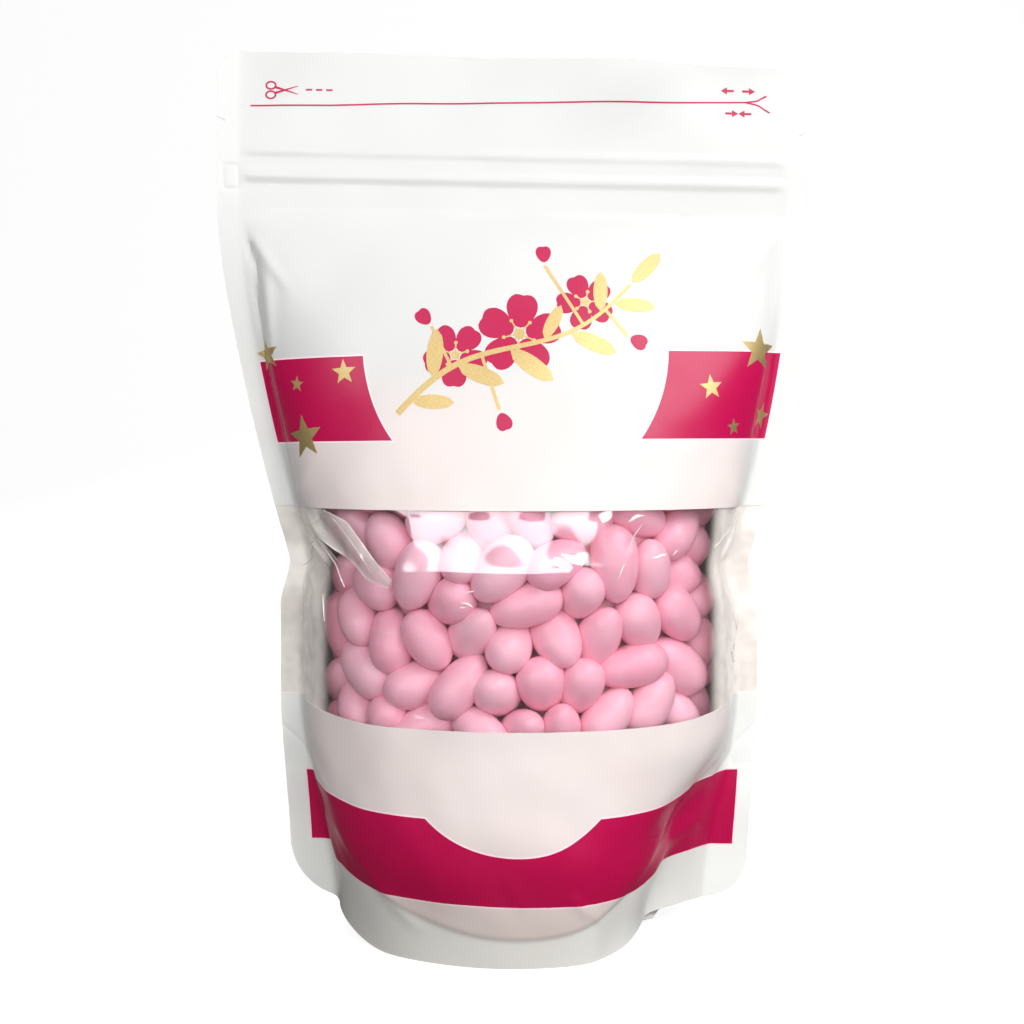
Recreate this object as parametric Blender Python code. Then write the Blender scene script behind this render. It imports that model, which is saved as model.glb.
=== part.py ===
"""A stand-up pouch of white paper with a clear window, full of pink sugared almonds.

Metres, +Z up. The origin is on the floor under the middle of the pouch, and the printed front faces -Y.
A place on a panel is given by two flat measures: s, across the flat paper from the middle line, and v, the
height of that place's level at the side seams.
"""

import math
from functools import lru_cache

import bmesh
import bpy
import numpy as np
from mathutils import Matrix, Vector

# The empty pouch laid flat
FLAT_HALF = 0.095
SEAM_TOP = 0.276
SEAM_FOOT = 0.0065
SIDE_SEAL = 0.008
FOOT_SEAL = 0.0155
TOP_CORNER = 0.008
LEFT_FOOT_CORNER = 0.0185
RIGHT_FOOT_CORNER = 0.013
SEAM_THICKNESS = 0.0008

# How the filled pouch stands
BELLY_TOP = 0.225
WAIST_HEIGHT = 0.115
WAIST_PULL = 0.0212
LENS_SHARE = 0.35
FLARE = 0.0030
FLARE_HEIGHT = 0.015
FOOT_TUCK = 0.004
TUCK_FOOT = 0.005
TUCK_TOP = 0.080
PINCH = 0.20
PINCH_TOP = 0.066
PINCH_RAMP = 0.030
FOOT_PINCH = 0.09
FOOT_PINCH_TOP = 0.030
PINCH_START = 0.55
PINCH_END = 0.18
FOOT_SEAL_TOP = 0.070
SAG_TOP = 0.120
TURN_FOOT = 0.150
TURN_TOP = 0.240
TOP_TURN = 0.0095
RIGHT_EAR_LEAN = 0.006
SECTION_POINTS = 181
SECTION_TRIES = 40

# The press-to-close strip, and the two tear notches above it
ZIP_RIDGES = (0.2365, 0.2435)
ZIP_RIDGE_RISE = 0.0009
ZIP_RIDGE_HALF = 0.0016
NOTCH_HEIGHT = 0.2535
NOTCH_HALF = 0.0016
NOTCH_DEPTH = 0.0030

# The folded foot: a rim, a groove behind it, and the part of the bottom sheet that rests on the floor
FOOT_RIM = 0.0015
FOOT_GROOVE = 0.0045
FOOT_GROOVE_END = 0.93
FOOT_REST = 0.55
FOOT_STEPS = 36
CUT_PROUD = 0.0015

# The window
WINDOW_FOOT = 0.072
WINDOW_TOP = 0.132
WINDOW_HALF = 0.083
WINDOW_DEPTH = 0.015
OPENING_PROUD = 0.006
FILM_THICKNESS = 0.0004
GAP = 0.0003

# The almonds behind the window
ALMOND_LENGTH = 0.0220
ALMOND_WIDTH = 0.0142
ALMOND_THICKNESS = 0.0128
ALMOND_TAPER = 0.13
SIZE_SPREAD = (0.13, 0.08, 0.07)
ALMOND_PITCH = 0.0136
PITCH_SHARES = (1.10, 0.90, 0.92)
HEAP_REACH_X = 0.077
HEAP_REACH_Y = 0.045
HEAP_FOOT = 0.052
HEAP_TOP = 0.150
HEAP_BACK = 0.016
HEAP_FILL = 0.94
HEAP_SIDE_ROOM = 0.0045
HEAP_CORE = 0.0100
CORE_SPARE = 0.001
HEAP_GAP = 0.0012
HEAP_SEED = 11
SCATTER = 0.0022
AXIS_SPREAD = (1.0, 0.75, 0.9)
ARM_SHARE = 0.26
BALL_SHARE = 0.485
END_SHARE = 0.74
WALL_GAP = 0.0010
HEAP_SLACK = 0.008
SETTLING_STEPS = 220
SETTLING_DRIFT = 0.00035
MOVE_SHARE = 0.45
TURN_SHARE = 0.5

# Divisions of the meshes, and the angle past which an edge is sharp
BODY_COLUMNS = 18
BODY_ROWS = 18
CORNER_ROWS = 4
WINDOW_COLUMNS = 24
WINDOW_ROWS = 9
ALMOND_SIDES = 10
ALMOND_RINGS = 6
SHARP_ANGLE = 35


def smooth(t):
    """0 below 0, 1 above 1 and an S between them."""
    t = np.clip(t, 0.0, 1.0)
    return t * t * (3 - 2 * t)


def seal_width(v):
    """The flat seal at each side, which widens into the round seal of the foot."""
    return SIDE_SEAL + (FOOT_SEAL - SIDE_SEAL) * smooth((FOOT_SEAL_TOP - v) / (FOOT_SEAL_TOP - SEAM_FOOT))


def corner_cut(share, radius):
    """How far a round corner has drawn the edge in, at a share of its height from 0 to 1."""
    return radius * (1 - math.sqrt(1 - np.clip(share, 0, 1) ** 2))


def flat_edge(v, foot_corner):
    """How far the flat paper reaches from its middle line, with round corners and a tear notch."""
    top = corner_cut((v - SEAM_TOP + TOP_CORNER) / TOP_CORNER, TOP_CORNER)
    foot = corner_cut((SEAM_FOOT + foot_corner - v) / foot_corner, foot_corner)
    notch = NOTCH_DEPTH * max(0.0, 1 - abs(v - NOTCH_HEIGHT) / NOTCH_HALF)
    return FLAT_HALF - top - foot - notch


def standing_half(v):
    """Half the width of the filled pouch: the belly pulls the seams in, most at the waist."""
    pull = WAIST_PULL * min(1.0, max(0.0, (BELLY_TOP - v) / (BELLY_TOP - WAIST_HEIGHT))) ** 1.5
    flare = FLARE * smooth((WAIST_HEIGHT - v) / FLARE_HEIGHT)
    tuck = FOOT_TUCK * smooth((TUCK_TOP - v) / (TUCK_TOP - TUCK_FOOT))
    return FLAT_HALF - pull + flare - tuck


@lru_cache(maxsize=None)
def section(v):
    """One side of the belly's cross-section at v, from the middle to the seal: arc length, x, depth and normal.

    It is half an ellipse low down and nearer a lens at the top. The paper doesn't stretch, so the depth is the
    one that uses up its flat width.
    """
    flat = FLAT_HALF - seal_width(v)
    half = standing_half(v) - seal_width(v)
    turn = np.linspace(0, math.pi / 2, SECTION_POINTS)
    x = half * np.sin(turn)
    rise = np.cos(turn) ** (1 + LENS_SHARE * smooth((v - WAIST_HEIGHT) / (BELLY_TOP - WAIST_HEIGHT)))

    def run(depth):
        steps = np.hypot(np.diff(x), depth * np.diff(rise))
        return np.concatenate([[0.0], np.cumsum(steps)])

    low, high = 0.0, half
    for _ in range(SECTION_TRIES):
        middle = (low + high) / 2
        if run(middle)[-1] < flat:
            low = middle
        else:
            high = middle
    along = run(low)
    depth = low * rise
    slope_x, slope_y = np.gradient(x, along), np.gradient(depth, along)
    size = np.hypot(slope_x, slope_y)
    return along * flat / along[-1], x, depth, -slope_y / size, slope_x / size


def zip_rise(v):
    """The two ridges of the press-to-close strip that show through the paper."""
    return sum(ZIP_RIDGE_RISE * max(0.0, 1 - abs(v - ridge) / ZIP_RIDGE_HALF) for ridge in ZIP_RIDGES)


def set_back(s, v):
    """The top is turned a little, its left end forward, and its right ear leans back further."""
    turn = TOP_TURN * smooth((v - TURN_FOOT) / (TURN_TOP - TURN_FOOT)) * s / FLAT_HALF
    ear = RIGHT_EAR_LEAN * smooth((v - TURN_TOP) / (SEAM_TOP - TURN_TOP)) * (max(0.0, s) / FLAT_HALF) ** 2
    return turn + ear


def pinched(share, v):
    """The share of its x that a place keeps where the belly's right side is dented near the foot."""
    depth = PINCH * smooth((PINCH_TOP - v) / PINCH_RAMP)
    depth += FOOT_PINCH * smooth((FOOT_PINCH_TOP - v) / (FOOT_PINCH_TOP - SEAM_FOOT))
    return 1 - depth * smooth(share / PINCH_START) * smooth((1 - share) / PINCH_END)


def panel_point(s, v, inset=0.0, side=-1):
    """The place in space of flat place (s, v) on the front (side -1) or back (side 1), sunk by inset."""
    run, xs, depths, normal_x, normal_y = section(v)
    reach = min(abs(s), run[-1])
    x = np.interp(reach, run, xs) - inset * np.interp(reach, run, normal_x)
    if s > 0:
        x *= pinched(reach / run[-1], v)
    x += abs(s) - reach
    depth = np.interp(reach, run, depths) - inset * np.interp(reach, run, normal_y)
    if abs(s) < run[-1]:
        depth += zip_rise(v)
    sag = SEAM_FOOT * smooth((SAG_TOP - v) / (SAG_TOP - SEAM_FOOT))
    level = 1 - smooth((reach / run[-1] - 0.5) / 0.5)
    return (math.copysign(x, s), side * (depth + SEAM_THICKNESS / 2) + set_back(s, v), v - sag * level)


def closed_between(name, front, back):
    """A closed solid between two sheets, each given as rows of points."""
    shape = bmesh.new()
    for rows in (front, back):
        sheet = bmesh.ops.create_grid(shape, x_segments=len(rows[0]) - 1, y_segments=len(rows) - 1, size=1)
        for vert, point in zip(sheet["verts"], [point for row in rows for point in row]):
            vert.co = point
    rims = [edge for edge in shape.edges if edge.is_boundary]
    bmesh.ops.bridge_loops(shape, edges=rims)
    bmesh.ops.recalc_face_normals(shape, faces=shape.faces)
    mesh = bpy.data.meshes.new(name)
    shape.to_mesh(mesh)
    shape.free()
    return bpy.data.objects.new(name, mesh)


def window_slab(name, outer, inner, margin):
    """A curved slab that follows the window, from outer to inner below the paper's face."""
    across = np.linspace(margin - WINDOW_HALF, WINDOW_HALF - margin, WINDOW_COLUMNS + 1)
    heights = np.linspace(WINDOW_FOOT + margin, WINDOW_TOP - margin, WINDOW_ROWS + 1)
    return closed_between(
        name,
        [[panel_point(s, v, outer) for s in across] for v in heights],
        [[panel_point(s, v, inner) for s in across] for v in heights],
    )


def material(name, colour, roughness, alpha=1.0):
    made = bpy.data.materials.new(name)
    made.use_nodes = True
    shader = made.node_tree.nodes["Principled BSDF"]
    shader.inputs["Base Color"].default_value = (*colour, 1.0)
    shader.inputs["Roughness"].default_value = roughness
    shader.inputs["Metallic"].default_value = 0.0
    shader.inputs["Alpha"].default_value = alpha
    return made


def finish(obj, surface):
    """Gives a finished piece its one material, smooth faces and sharp edges."""
    obj.data.materials.clear()
    obj.data.materials.append(surface)
    obj.data.shade_smooth()
    obj.data.set_sharp_from_angle(angle=math.radians(SHARP_ANGLE))


def add_cutter(obj, cutters):
    cutters.objects.link(obj)
    obj.hide_render = True
    obj.display_type = "WIRE"
    return obj


def boolean(obj, operation, other, solver="EXACT"):
    """Joins or cuts obj with another object or with all of a collection, and applies it."""
    modifier = obj.modifiers.new(operation.lower(), "BOOLEAN")
    modifier.operation = operation
    modifier.solver = solver
    if isinstance(other, bpy.types.Collection):
        modifier.operand_type = "COLLECTION"
        modifier.collection = other
    else:
        modifier.object = other
    bpy.context.view_layer.update()
    evaluated = obj.evaluated_get(bpy.context.evaluated_depsgraph_get())
    obj.data = bpy.data.meshes.new_from_object(evaluated)
    obj.modifiers.clear()


def pouch_rows():
    """The levels of the pouch's mesh: close together at its corners, ridges and notches."""
    quarter = np.linspace(0, math.pi / 2, CORNER_ROWS + 1)
    foot = SEAM_FOOT + LEFT_FOOT_CORNER * (1 - np.cos(quarter))
    belly = np.linspace(SEAM_FOOT + LEFT_FOOT_CORNER, BELLY_TOP, BODY_ROWS + 1)[1:]
    zips = [ridge + step * ZIP_RIDGE_HALF for ridge in ZIP_RIDGES for step in (-1, 0, 1)]
    notch = [NOTCH_HEIGHT + step * NOTCH_HALF for step in (-1, 0, 1)]
    top = SEAM_TOP - TOP_CORNER * (1 - np.sin(quarter))
    return [*foot, *belly, *zips, *notch, *top]


def row_places(v):
    """Flat places across one level: the body evenly, then the seal at each side."""
    body = FLAT_HALF - seal_width(v)
    inner = np.linspace(-body, body, BODY_COLUMNS + 1)
    return [-flat_edge(v, LEFT_FOOT_CORNER), *inner, flat_edge(v, RIGHT_FOOT_CORNER)]


def foot_groove():
    """A ring cut under the foot, where the folded bottom sheet lies higher than the rim."""
    profile = bmesh.new()
    stations = [
        (1.0, -CUT_PROUD),
        (1.0, FOOT_GROOVE),
        (FOOT_GROOVE_END, FOOT_GROOVE),
        (FOOT_REST, 0.0),
        (FOOT_REST, -CUT_PROUD),
    ]
    verts = [profile.verts.new((share, 0, z)) for share, z in stations]
    profile.faces.new(verts)
    bmesh.ops.spin(
        profile,
        geom=profile.verts[:] + profile.edges[:] + profile.faces[:],
        axis=(0, 0, 1),
        cent=(0, 0, 0),
        steps=FOOT_STEPS,
        angle=2 * math.pi,
        use_merge=True,
    )
    bmesh.ops.remove_doubles(profile, verts=profile.verts, dist=0.0001)
    inner_faces = [face for face in profile.faces if len(face.verts) == len(stations)]
    bmesh.ops.delete(profile, geom=inner_faces, context="FACES_ONLY")
    run, xs, depths, _, _ = section(SEAM_FOOT)
    for vert in profile.verts:
        across = vert.co.x / max(math.hypot(vert.co.x, vert.co.y), GAP)
        share = np.interp(abs(across), xs / xs[-1], run) / run[-1]
        vert.co.x *= (xs[-1] - FOOT_RIM) * (pinched(share, SEAM_FOOT) if across > 0 else 1)
        vert.co.y *= depths[0] - FOOT_RIM
    bmesh.ops.recalc_face_normals(profile, faces=profile.faces)
    mesh = bpy.data.meshes.new("foot_groove")
    profile.to_mesh(mesh)
    profile.free()
    return bpy.data.objects.new("foot_groove", mesh)


def build_pouch(parts, cutters):
    """The paper pouch: one sealed body, with the window and the foot's fold cut in."""
    rows = pouch_rows()
    pouch = closed_between(
        "pouch",
        [[panel_point(s, v, side=-1) for s in row_places(v)] for v in rows],
        [[panel_point(s, v, side=1) for s in row_places(v)] for v in rows],
    )
    parts.objects.link(pouch)
    boolean(pouch, "DIFFERENCE", add_cutter(window_slab("window_opening", -OPENING_PROUD, WINDOW_DEPTH, 0.0), cutters))
    boolean(pouch, "DIFFERENCE", add_cutter(foot_groove(), cutters))
    finish(pouch, material("paper", (0.86, 0.86, 0.85), 0.55))


def build_film(parts):
    """The clear film that closes the window."""
    film = window_slab("window_film", 0.0, FILM_THICKNESS, GAP)
    parts.objects.link(film)
    finish(film, material("clear_film", (0.97, 0.97, 0.97), 0.08, alpha=0.2))


def packed_almonds():
    """Centre, long axis, sizes, outward way and cover of each almond in the front of the pouch.

    Each almond is three balls on a line. Balls that overlap push each other apart, the pouch's wall keeps
    them in, and a slow drift presses them against it. The cover is the depth of its centre under the film.
    """
    rng = np.random.default_rng(HEAP_SEED)
    levels = np.linspace(HEAP_FOOT - ALMOND_LENGTH, HEAP_TOP + ALMOND_LENGTH, 2 * BODY_ROWS)
    halves = np.array([section(v)[1][-1] for v in levels]) - HEAP_SIDE_ROOM
    depths = np.array([section(v)[2][0] for v in levels])
    step_x, step_y, step_z = (ALMOND_PITCH * share for share in PITCH_SHARES)
    grid = np.array([
        (x, y, z)
        for k, z in enumerate(np.arange(HEAP_FOOT, HEAP_TOP, step_z))
        for j, y in enumerate(np.arange(HEAP_BACK - ALMOND_WIDTH / 2, -HEAP_REACH_Y, -step_y))
        for x in np.arange(-HEAP_REACH_X, HEAP_REACH_X, step_x) + step_x / 2 * ((j + k) % 2)
    ])
    half = np.interp(grid[:, 2], levels, halves)
    depth = np.interp(grid[:, 2], levels, depths)
    centres = grid[(grid[:, 0] / half) ** 2 + (grid[:, 1] / depth) ** 2 < HEAP_FILL]
    count = len(centres)
    centres = centres + rng.normal(0, SCATTER, (count, 3))
    axes = rng.normal(0, 1, (count, 3)) * AXIS_SPREAD
    axes /= np.linalg.norm(axes, axis=1)[:, None]
    sizes = 1 + rng.uniform(-1, 1, (count, 3)) * SIZE_SPREAD
    arm = ARM_SHARE * ALMOND_LENGTH * sizes[:, 0]
    middle_ball = BALL_SHARE * ALMOND_WIDTH * sizes[:, 1]
    reach = np.stack([middle_ball * END_SHARE, middle_ball, middle_ball * END_SHARE], 1).ravel()
    along = np.array([-1.0, 0.0, 1.0])
    owner = np.repeat(np.arange(count), 3)
    touching = reach[:, None] + reach[None, :]
    strangers = owner[:, None] != owner[None, :]

    def wall(points):
        """The way out from each point to the pouch's wall, and how far that is."""
        wall_x = np.interp(points[:, 2], levels, halves)
        wall_y = np.interp(points[:, 2], levels, depths)
        outward = np.stack([points[:, 0] / wall_x**2, points[:, 1] / wall_y**2, np.zeros(len(points))], 1)
        steepness = np.linalg.norm(outward, axis=1) + 1e-9
        share = np.hypot(points[:, 0] / wall_x, points[:, 1] / wall_y)
        return outward / steepness[:, None], (1 - share) * share / steepness

    for step in range(SETTLING_STEPS):
        balls = (centres[:, None] + axes[:, None] * (arm[:, None] * along)[:, :, None]).reshape(-1, 3)
        apart = balls[:, None] - balls[None, :]
        gap = np.sqrt((apart**2).sum(-1)) + 1e-9
        lap = np.where(strangers & (gap < touching), touching - gap, 0.0)
        push = (apart * (0.5 * lap / gap)[:, :, None]).sum(1)
        outward, room = wall(balls)
        room -= WALL_GAP
        push -= outward * np.maximum(0, reach - room)[:, None]
        drift = SETTLING_DRIFT * (1 - step / SETTLING_STEPS)
        push += outward * np.where(room > reach, drift, 0.0)[:, None]
        push[:, 1] -= np.maximum(0, balls[:, 1] + reach - HEAP_BACK)
        push[:, 2] += np.maximum(0, HEAP_FOOT - HEAP_SLACK - balls[:, 2] + reach)
        push[:, 2] -= np.maximum(0, balls[:, 2] + reach - HEAP_TOP - HEAP_SLACK)
        push = push.reshape(count, 3, 3)
        centres = centres + MOVE_SHARE * push.sum(1)
        axes = axes + TURN_SHARE * (push * along[None, :, None]).sum(1) / arm[:, None]
        axes /= np.linalg.norm(axes, axis=1)[:, None]
    outward, cover = wall(centres)
    lean = (axes * outward).sum(1)
    support = np.hypot(ALMOND_LENGTH * sizes[:, 0] * lean, ALMOND_THICKNESS * sizes[:, 2] * np.sqrt(1 - lean**2)) / 2
    inward = np.maximum(0, support + WALL_GAP - cover)
    return centres - outward * inward[:, None], axes, sizes, outward, cover + inward


def almond_matrix(centre, axis, size, outward):
    """Places a unit almond: x along it, z through its thinner way, which faces the film."""
    x = Vector(axis).normalized()
    z = Vector(outward) - Vector(outward).dot(x) * x
    z = z.normalized() if z.length > 0.05 else x.orthogonal().normalized()
    turn = Matrix((x, z.cross(x), z)).transposed().to_4x4()
    half = Vector((ALMOND_LENGTH * size[0], ALMOND_WIDTH * size[1], ALMOND_THICKNESS * size[2])) / 2
    return Matrix.Translation(Vector(centre)) @ turn @ Matrix.Diagonal((*half, 1.0))


def unit_almond():
    """A ball of radius 1 with its poles on x, fuller at one end than at the other."""
    ball = bmesh.new()
    bmesh.ops.create_uvsphere(ball, u_segments=ALMOND_SIDES, v_segments=ALMOND_RINGS, radius=1.0)
    bmesh.ops.rotate(ball, verts=ball.verts, matrix=Matrix.Rotation(math.pi / 2, 3, "Y"))
    for vert in ball.verts:
        vert.co.y *= 1 - ALMOND_TAPER * vert.co.x
        vert.co.z *= 1 - ALMOND_TAPER * vert.co.x
    mesh = bpy.data.meshes.new("unit_almond")
    ball.to_mesh(mesh)
    ball.free()
    return mesh


def keep_largest_piece(obj):
    """Deletes the crumbs that a cut leaves loose."""
    shape = bmesh.new()
    shape.from_mesh(obj.data)
    left = set(shape.verts)
    pieces = []
    while left:
        found, queue = [], [left.pop()]
        while queue:
            vert = queue.pop()
            found.append(vert)
            fresh = {edge.other_vert(vert) for edge in vert.link_edges} & left
            left -= fresh
            queue.extend(fresh)
        pieces.append(found)
    for crumb in sorted(pieces, key=len)[:-1]:
        bmesh.ops.delete(shape, geom=crumb, context="VERTS")
    shape.to_mesh(obj.data)
    shape.free()


def build_almonds(parts, cutters):
    """The almonds that show in the window, fused on a core and cut off where the pouch hides them."""
    heap = window_slab("almonds", HEAP_CORE, WINDOW_DEPTH + CORE_SPARE, -CORE_SPARE)
    parts.objects.link(heap)
    loose = bpy.data.collections.new("loose_almonds")
    cutters.children.link(loose)
    shape = unit_almond()
    for centre, axis, size, outward, cover in zip(*packed_almonds()):
        behind_window = WINDOW_FOOT - ALMOND_WIDTH / 2 < centre[2] < WINDOW_TOP + ALMOND_WIDTH / 2
        if behind_window and cover < WINDOW_DEPTH:
            almond = bpy.data.objects.new("almond", shape)
            almond.matrix_world = almond_matrix(centre, axis, size, outward)
            add_cutter(almond, loose)
    boolean(heap, "UNION", loose, solver="MANIFOLD")
    for almond in list(loose.objects):
        bpy.data.objects.remove(almond)
    room = window_slab("behind_film", FILM_THICKNESS + GAP, WINDOW_DEPTH - GAP, HEAP_GAP)
    boolean(heap, "INTERSECT", add_cutter(room, cutters), solver="MANIFOLD")
    keep_largest_piece(heap)
    finish(heap, material("pink_sugar", (0.85, 0.42, 0.52), 0.35))


def main():
    for obj in list(bpy.data.objects):
        bpy.data.objects.remove(obj)
    parts = bpy.data.collections.new("almond_pouch")
    cutters = bpy.data.collections.new("cutters")
    bpy.context.scene.collection.children.link(parts)
    bpy.context.scene.collection.children.link(cutters)
    build_pouch(parts, cutters)
    build_film(parts)
    build_almonds(parts, cutters)


main()
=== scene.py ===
"""A stand-up pouch of white paper with a clear window, full of pink sugared almonds.

Metres, +Z up, and the printed front faces -Y. A place on a panel is given by two flat measures: s, across
the flat paper from the middle line, and v, the height of that place's level at the side seams.
"""

import math
from functools import lru_cache

import bpy
import numpy as np
from mathutils import Matrix, Vector


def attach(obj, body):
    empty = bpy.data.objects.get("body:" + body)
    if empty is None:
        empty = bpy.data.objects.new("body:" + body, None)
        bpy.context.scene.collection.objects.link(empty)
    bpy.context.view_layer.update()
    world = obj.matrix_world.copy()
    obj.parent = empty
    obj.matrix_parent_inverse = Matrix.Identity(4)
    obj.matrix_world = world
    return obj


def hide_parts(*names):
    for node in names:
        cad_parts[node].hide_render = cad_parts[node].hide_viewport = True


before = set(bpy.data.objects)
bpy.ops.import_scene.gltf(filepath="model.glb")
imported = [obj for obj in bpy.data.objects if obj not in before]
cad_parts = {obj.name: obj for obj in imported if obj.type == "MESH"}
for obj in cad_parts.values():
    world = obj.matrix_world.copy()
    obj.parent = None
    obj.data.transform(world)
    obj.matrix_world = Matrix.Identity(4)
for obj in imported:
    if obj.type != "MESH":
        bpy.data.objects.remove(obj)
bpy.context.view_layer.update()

# The camera stands straight in front of the pouch, level with the printed band, and its picture is shifted
# down a little instead of being tilted, so that the pouch's sides stay upright.
CAMERA_PLACE = (-0.00225, -0.400, 0.150)
CAMERA_LENS = 43.66
CAMERA_SHIFT = -0.0605
camera_data = bpy.data.cameras.new("camera")
camera_data.lens = CAMERA_LENS
camera_data.sensor_width = 36.0
camera_data.shift_y = CAMERA_SHIFT
camera_data.clip_start = 0.01
camera = bpy.data.objects.new("camera", camera_data)
bpy.context.scene.collection.objects.link(camera)
camera.location = CAMERA_PLACE
camera.rotation_euler = (math.radians(90), 0, 0)
bpy.context.scene.camera = camera
bpy.context.scene.view_settings.view_transform = "Standard"

# The pouch is one web of white paper, lined with clear film and welded flat down both sides. The almonds
# swell it, and because paper can't stretch, the belly pulls the side seals in. These are its measures, and
# its cross-section at each level is worked out from them.
FLAT_HALF = 0.095
SEAM_TOP = 0.276
SEAM_FOOT = 0.0065
SIDE_SEAL = 0.008
FOOT_SEAL = 0.0155
TOP_CORNER = 0.008
LEFT_FOOT_CORNER = 0.0185
RIGHT_FOOT_CORNER = 0.013
SEAM_THICKNESS = 0.0008
BELLY_TOP = 0.225
WAIST_HEIGHT = 0.115
WAIST_PULL = 0.0212
LENS_SHARE = 0.35
FLARE = 0.0030
FLARE_HEIGHT = 0.015
FOOT_TUCK = 0.004
TUCK_FOOT = 0.005
TUCK_TOP = 0.080
PINCH = 0.20
PINCH_TOP = 0.066
PINCH_RAMP = 0.030
FOOT_PINCH = 0.09
FOOT_PINCH_TOP = 0.030
PINCH_START = 0.55
PINCH_END = 0.18
FOOT_SEAL_TOP = 0.070
SAG_TOP = 0.120
SAG_SHARE = 0.5
TURN_FOOT = 0.150
TURN_TOP = 0.240
TOP_TURN = 0.0095
RIGHT_EAR_LEAN = 0.006
NOTCH_HEIGHT = 0.2535
NOTCH_HALF = 0.0016
NOTCH_DEPTH = 0.0030
SECTION_SHARES = np.linspace(0, 1, 121)
SECTION_LEVELS = np.linspace(SEAM_FOOT, SEAM_TOP, 270)


def smooth(t):
    """0 below 0, 1 above 1 and an S between them."""
    t = np.clip(t, 0.0, 1.0)
    return t * t * (3 - 2 * t)


def seal_width(v):
    """The flat seal at each side, which widens into the round seal of the foot."""
    return SIDE_SEAL + (FOOT_SEAL - SIDE_SEAL) * smooth((FOOT_SEAL_TOP - v) / (FOOT_SEAL_TOP - SEAM_FOOT))


def flat_edge(v, way):
    """How far the flat paper reaches left (way below 0) or right, with round corners and a tear notch."""
    foot_corner = np.where(np.asarray(way) < 0, LEFT_FOOT_CORNER, RIGHT_FOOT_CORNER)
    top = np.clip((v - SEAM_TOP + TOP_CORNER) / TOP_CORNER, 0, 1)
    foot = np.clip((SEAM_FOOT + foot_corner - v) / foot_corner, 0, 1)
    corners = TOP_CORNER * (1 - np.sqrt(1 - top**2)) + foot_corner * (1 - np.sqrt(1 - foot**2))
    notch = NOTCH_DEPTH * np.maximum(0.0, 1 - np.abs(v - NOTCH_HEIGHT) / NOTCH_HALF)
    return FLAT_HALF - corners - notch


def standing_half(v):
    """Half the width of the filled pouch: the belly pulls the seams in, most at the waist."""
    pull = WAIST_PULL * min(1.0, max(0.0, (BELLY_TOP - v) / (BELLY_TOP - WAIST_HEIGHT))) ** 1.5
    flare = FLARE * smooth((WAIST_HEIGHT - v) / FLARE_HEIGHT)
    tuck = FOOT_TUCK * smooth((TUCK_TOP - v) / (TUCK_TOP - TUCK_FOOT))
    return FLAT_HALF - pull + flare - tuck


@lru_cache(maxsize=None)
def section(v):
    """Half the belly's cross-section, from the middle to the seal: arc length, x, depth and normal."""
    flat = FLAT_HALF - seal_width(v)
    half = standing_half(v) - seal_width(v)
    turn = np.linspace(0, math.pi / 2, 181)
    x = half * np.sin(turn)
    rise = np.cos(turn) ** (1 + LENS_SHARE * smooth((v - WAIST_HEIGHT) / (BELLY_TOP - WAIST_HEIGHT)))

    def run(depth):
        steps = np.hypot(np.diff(x), depth * np.diff(rise))
        return np.concatenate([[0.0], np.cumsum(steps)])

    low, high = 0.0, half
    for _ in range(40):
        middle = (low + high) / 2
        if run(middle)[-1] < flat:
            low = middle
        else:
            high = middle
    along = run(low)
    depth = low * rise
    slope_x, slope_y = np.gradient(x, along), np.gradient(depth, along)
    size = np.hypot(slope_x, slope_y)
    return along * flat / along[-1], x, depth, -slope_y / size, slope_x / size


def section_tables():
    """The section's x, depth and normal for every level and share of its run, for quick reading."""
    rows = [
        [np.interp(SECTION_SHARES * run[-1], run, values) for values in (x, depth, normal_x, normal_y)]
        for run, x, depth, normal_x, normal_y in (section(v) for v in SECTION_LEVELS)
    ]
    return [np.array([row[part] for row in rows]) for part in range(4)]


SECTION_X, SECTION_DEPTH, SECTION_NORMAL_X, SECTION_NORMAL_Y = section_tables()


def from_table(table, share, v):
    up = np.clip((v - SEAM_FOOT) / (SEAM_TOP - SEAM_FOOT), 0, 1) * (len(SECTION_LEVELS) - 1)
    across = np.clip(share, 0, 1) * (len(SECTION_SHARES) - 1)
    row = np.minimum(up.astype(int), len(SECTION_LEVELS) - 2)
    column = np.minimum(across.astype(int), len(SECTION_SHARES) - 2)
    up, across = up - row, across - column
    low = (1 - across) * table[row, column] + across * table[row, column + 1]
    high = (1 - across) * table[row + 1, column] + across * table[row + 1, column + 1]
    return (1 - up) * low + up * high


# The empty flap above the press-to-close strip stands a little wavy, and its right ear leans back. Lower
# down the flat side seals buckle where the belly pulls them in, and the paper turns into them in a small
# fillet. A wave is a middle, a width and a height, and a buckle a side, a level, a half height and a depth.
FLAP_FOOT = 0.247
FLAP_WAVES = (
    (0.033, 0.019, -0.0034), (-0.020, 0.014, 0.0012), (-0.086, 0.014, 0.0022), (0.085, 0.016, -0.0016),
)
FLAT_BLEND = 0.06
SEAL_BUCKLES = (
    (-1, 0.121, 0.007, 0.0007), (-1, 0.104, 0.006, -0.0005), (-1, 0.086, 0.008, 0.0004),
    (-1, 0.066, 0.008, -0.0004), (1, 0.123, 0.007, -0.0006), (1, 0.106, 0.006, 0.0006),
    (1, 0.088, 0.006, -0.0004), (1, 0.062, 0.008, 0.0006), (1, 0.036, 0.010, -0.0007),
    (-1, 0.034, 0.010, 0.0006), (-1, 0.160, 0.012, -0.0006), (1, 0.176, 0.014, 0.0006),
)
BUCKLE_START = 0.080
BUCKLE_REACH = 0.010
TUCK_IN = 0.0025
TUCK_IN_TOP = 0.040
TUCKED_DEPTH = 0.040
FILLET_IN = 0.0060
FILLET_OUT = 0.0030


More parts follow.
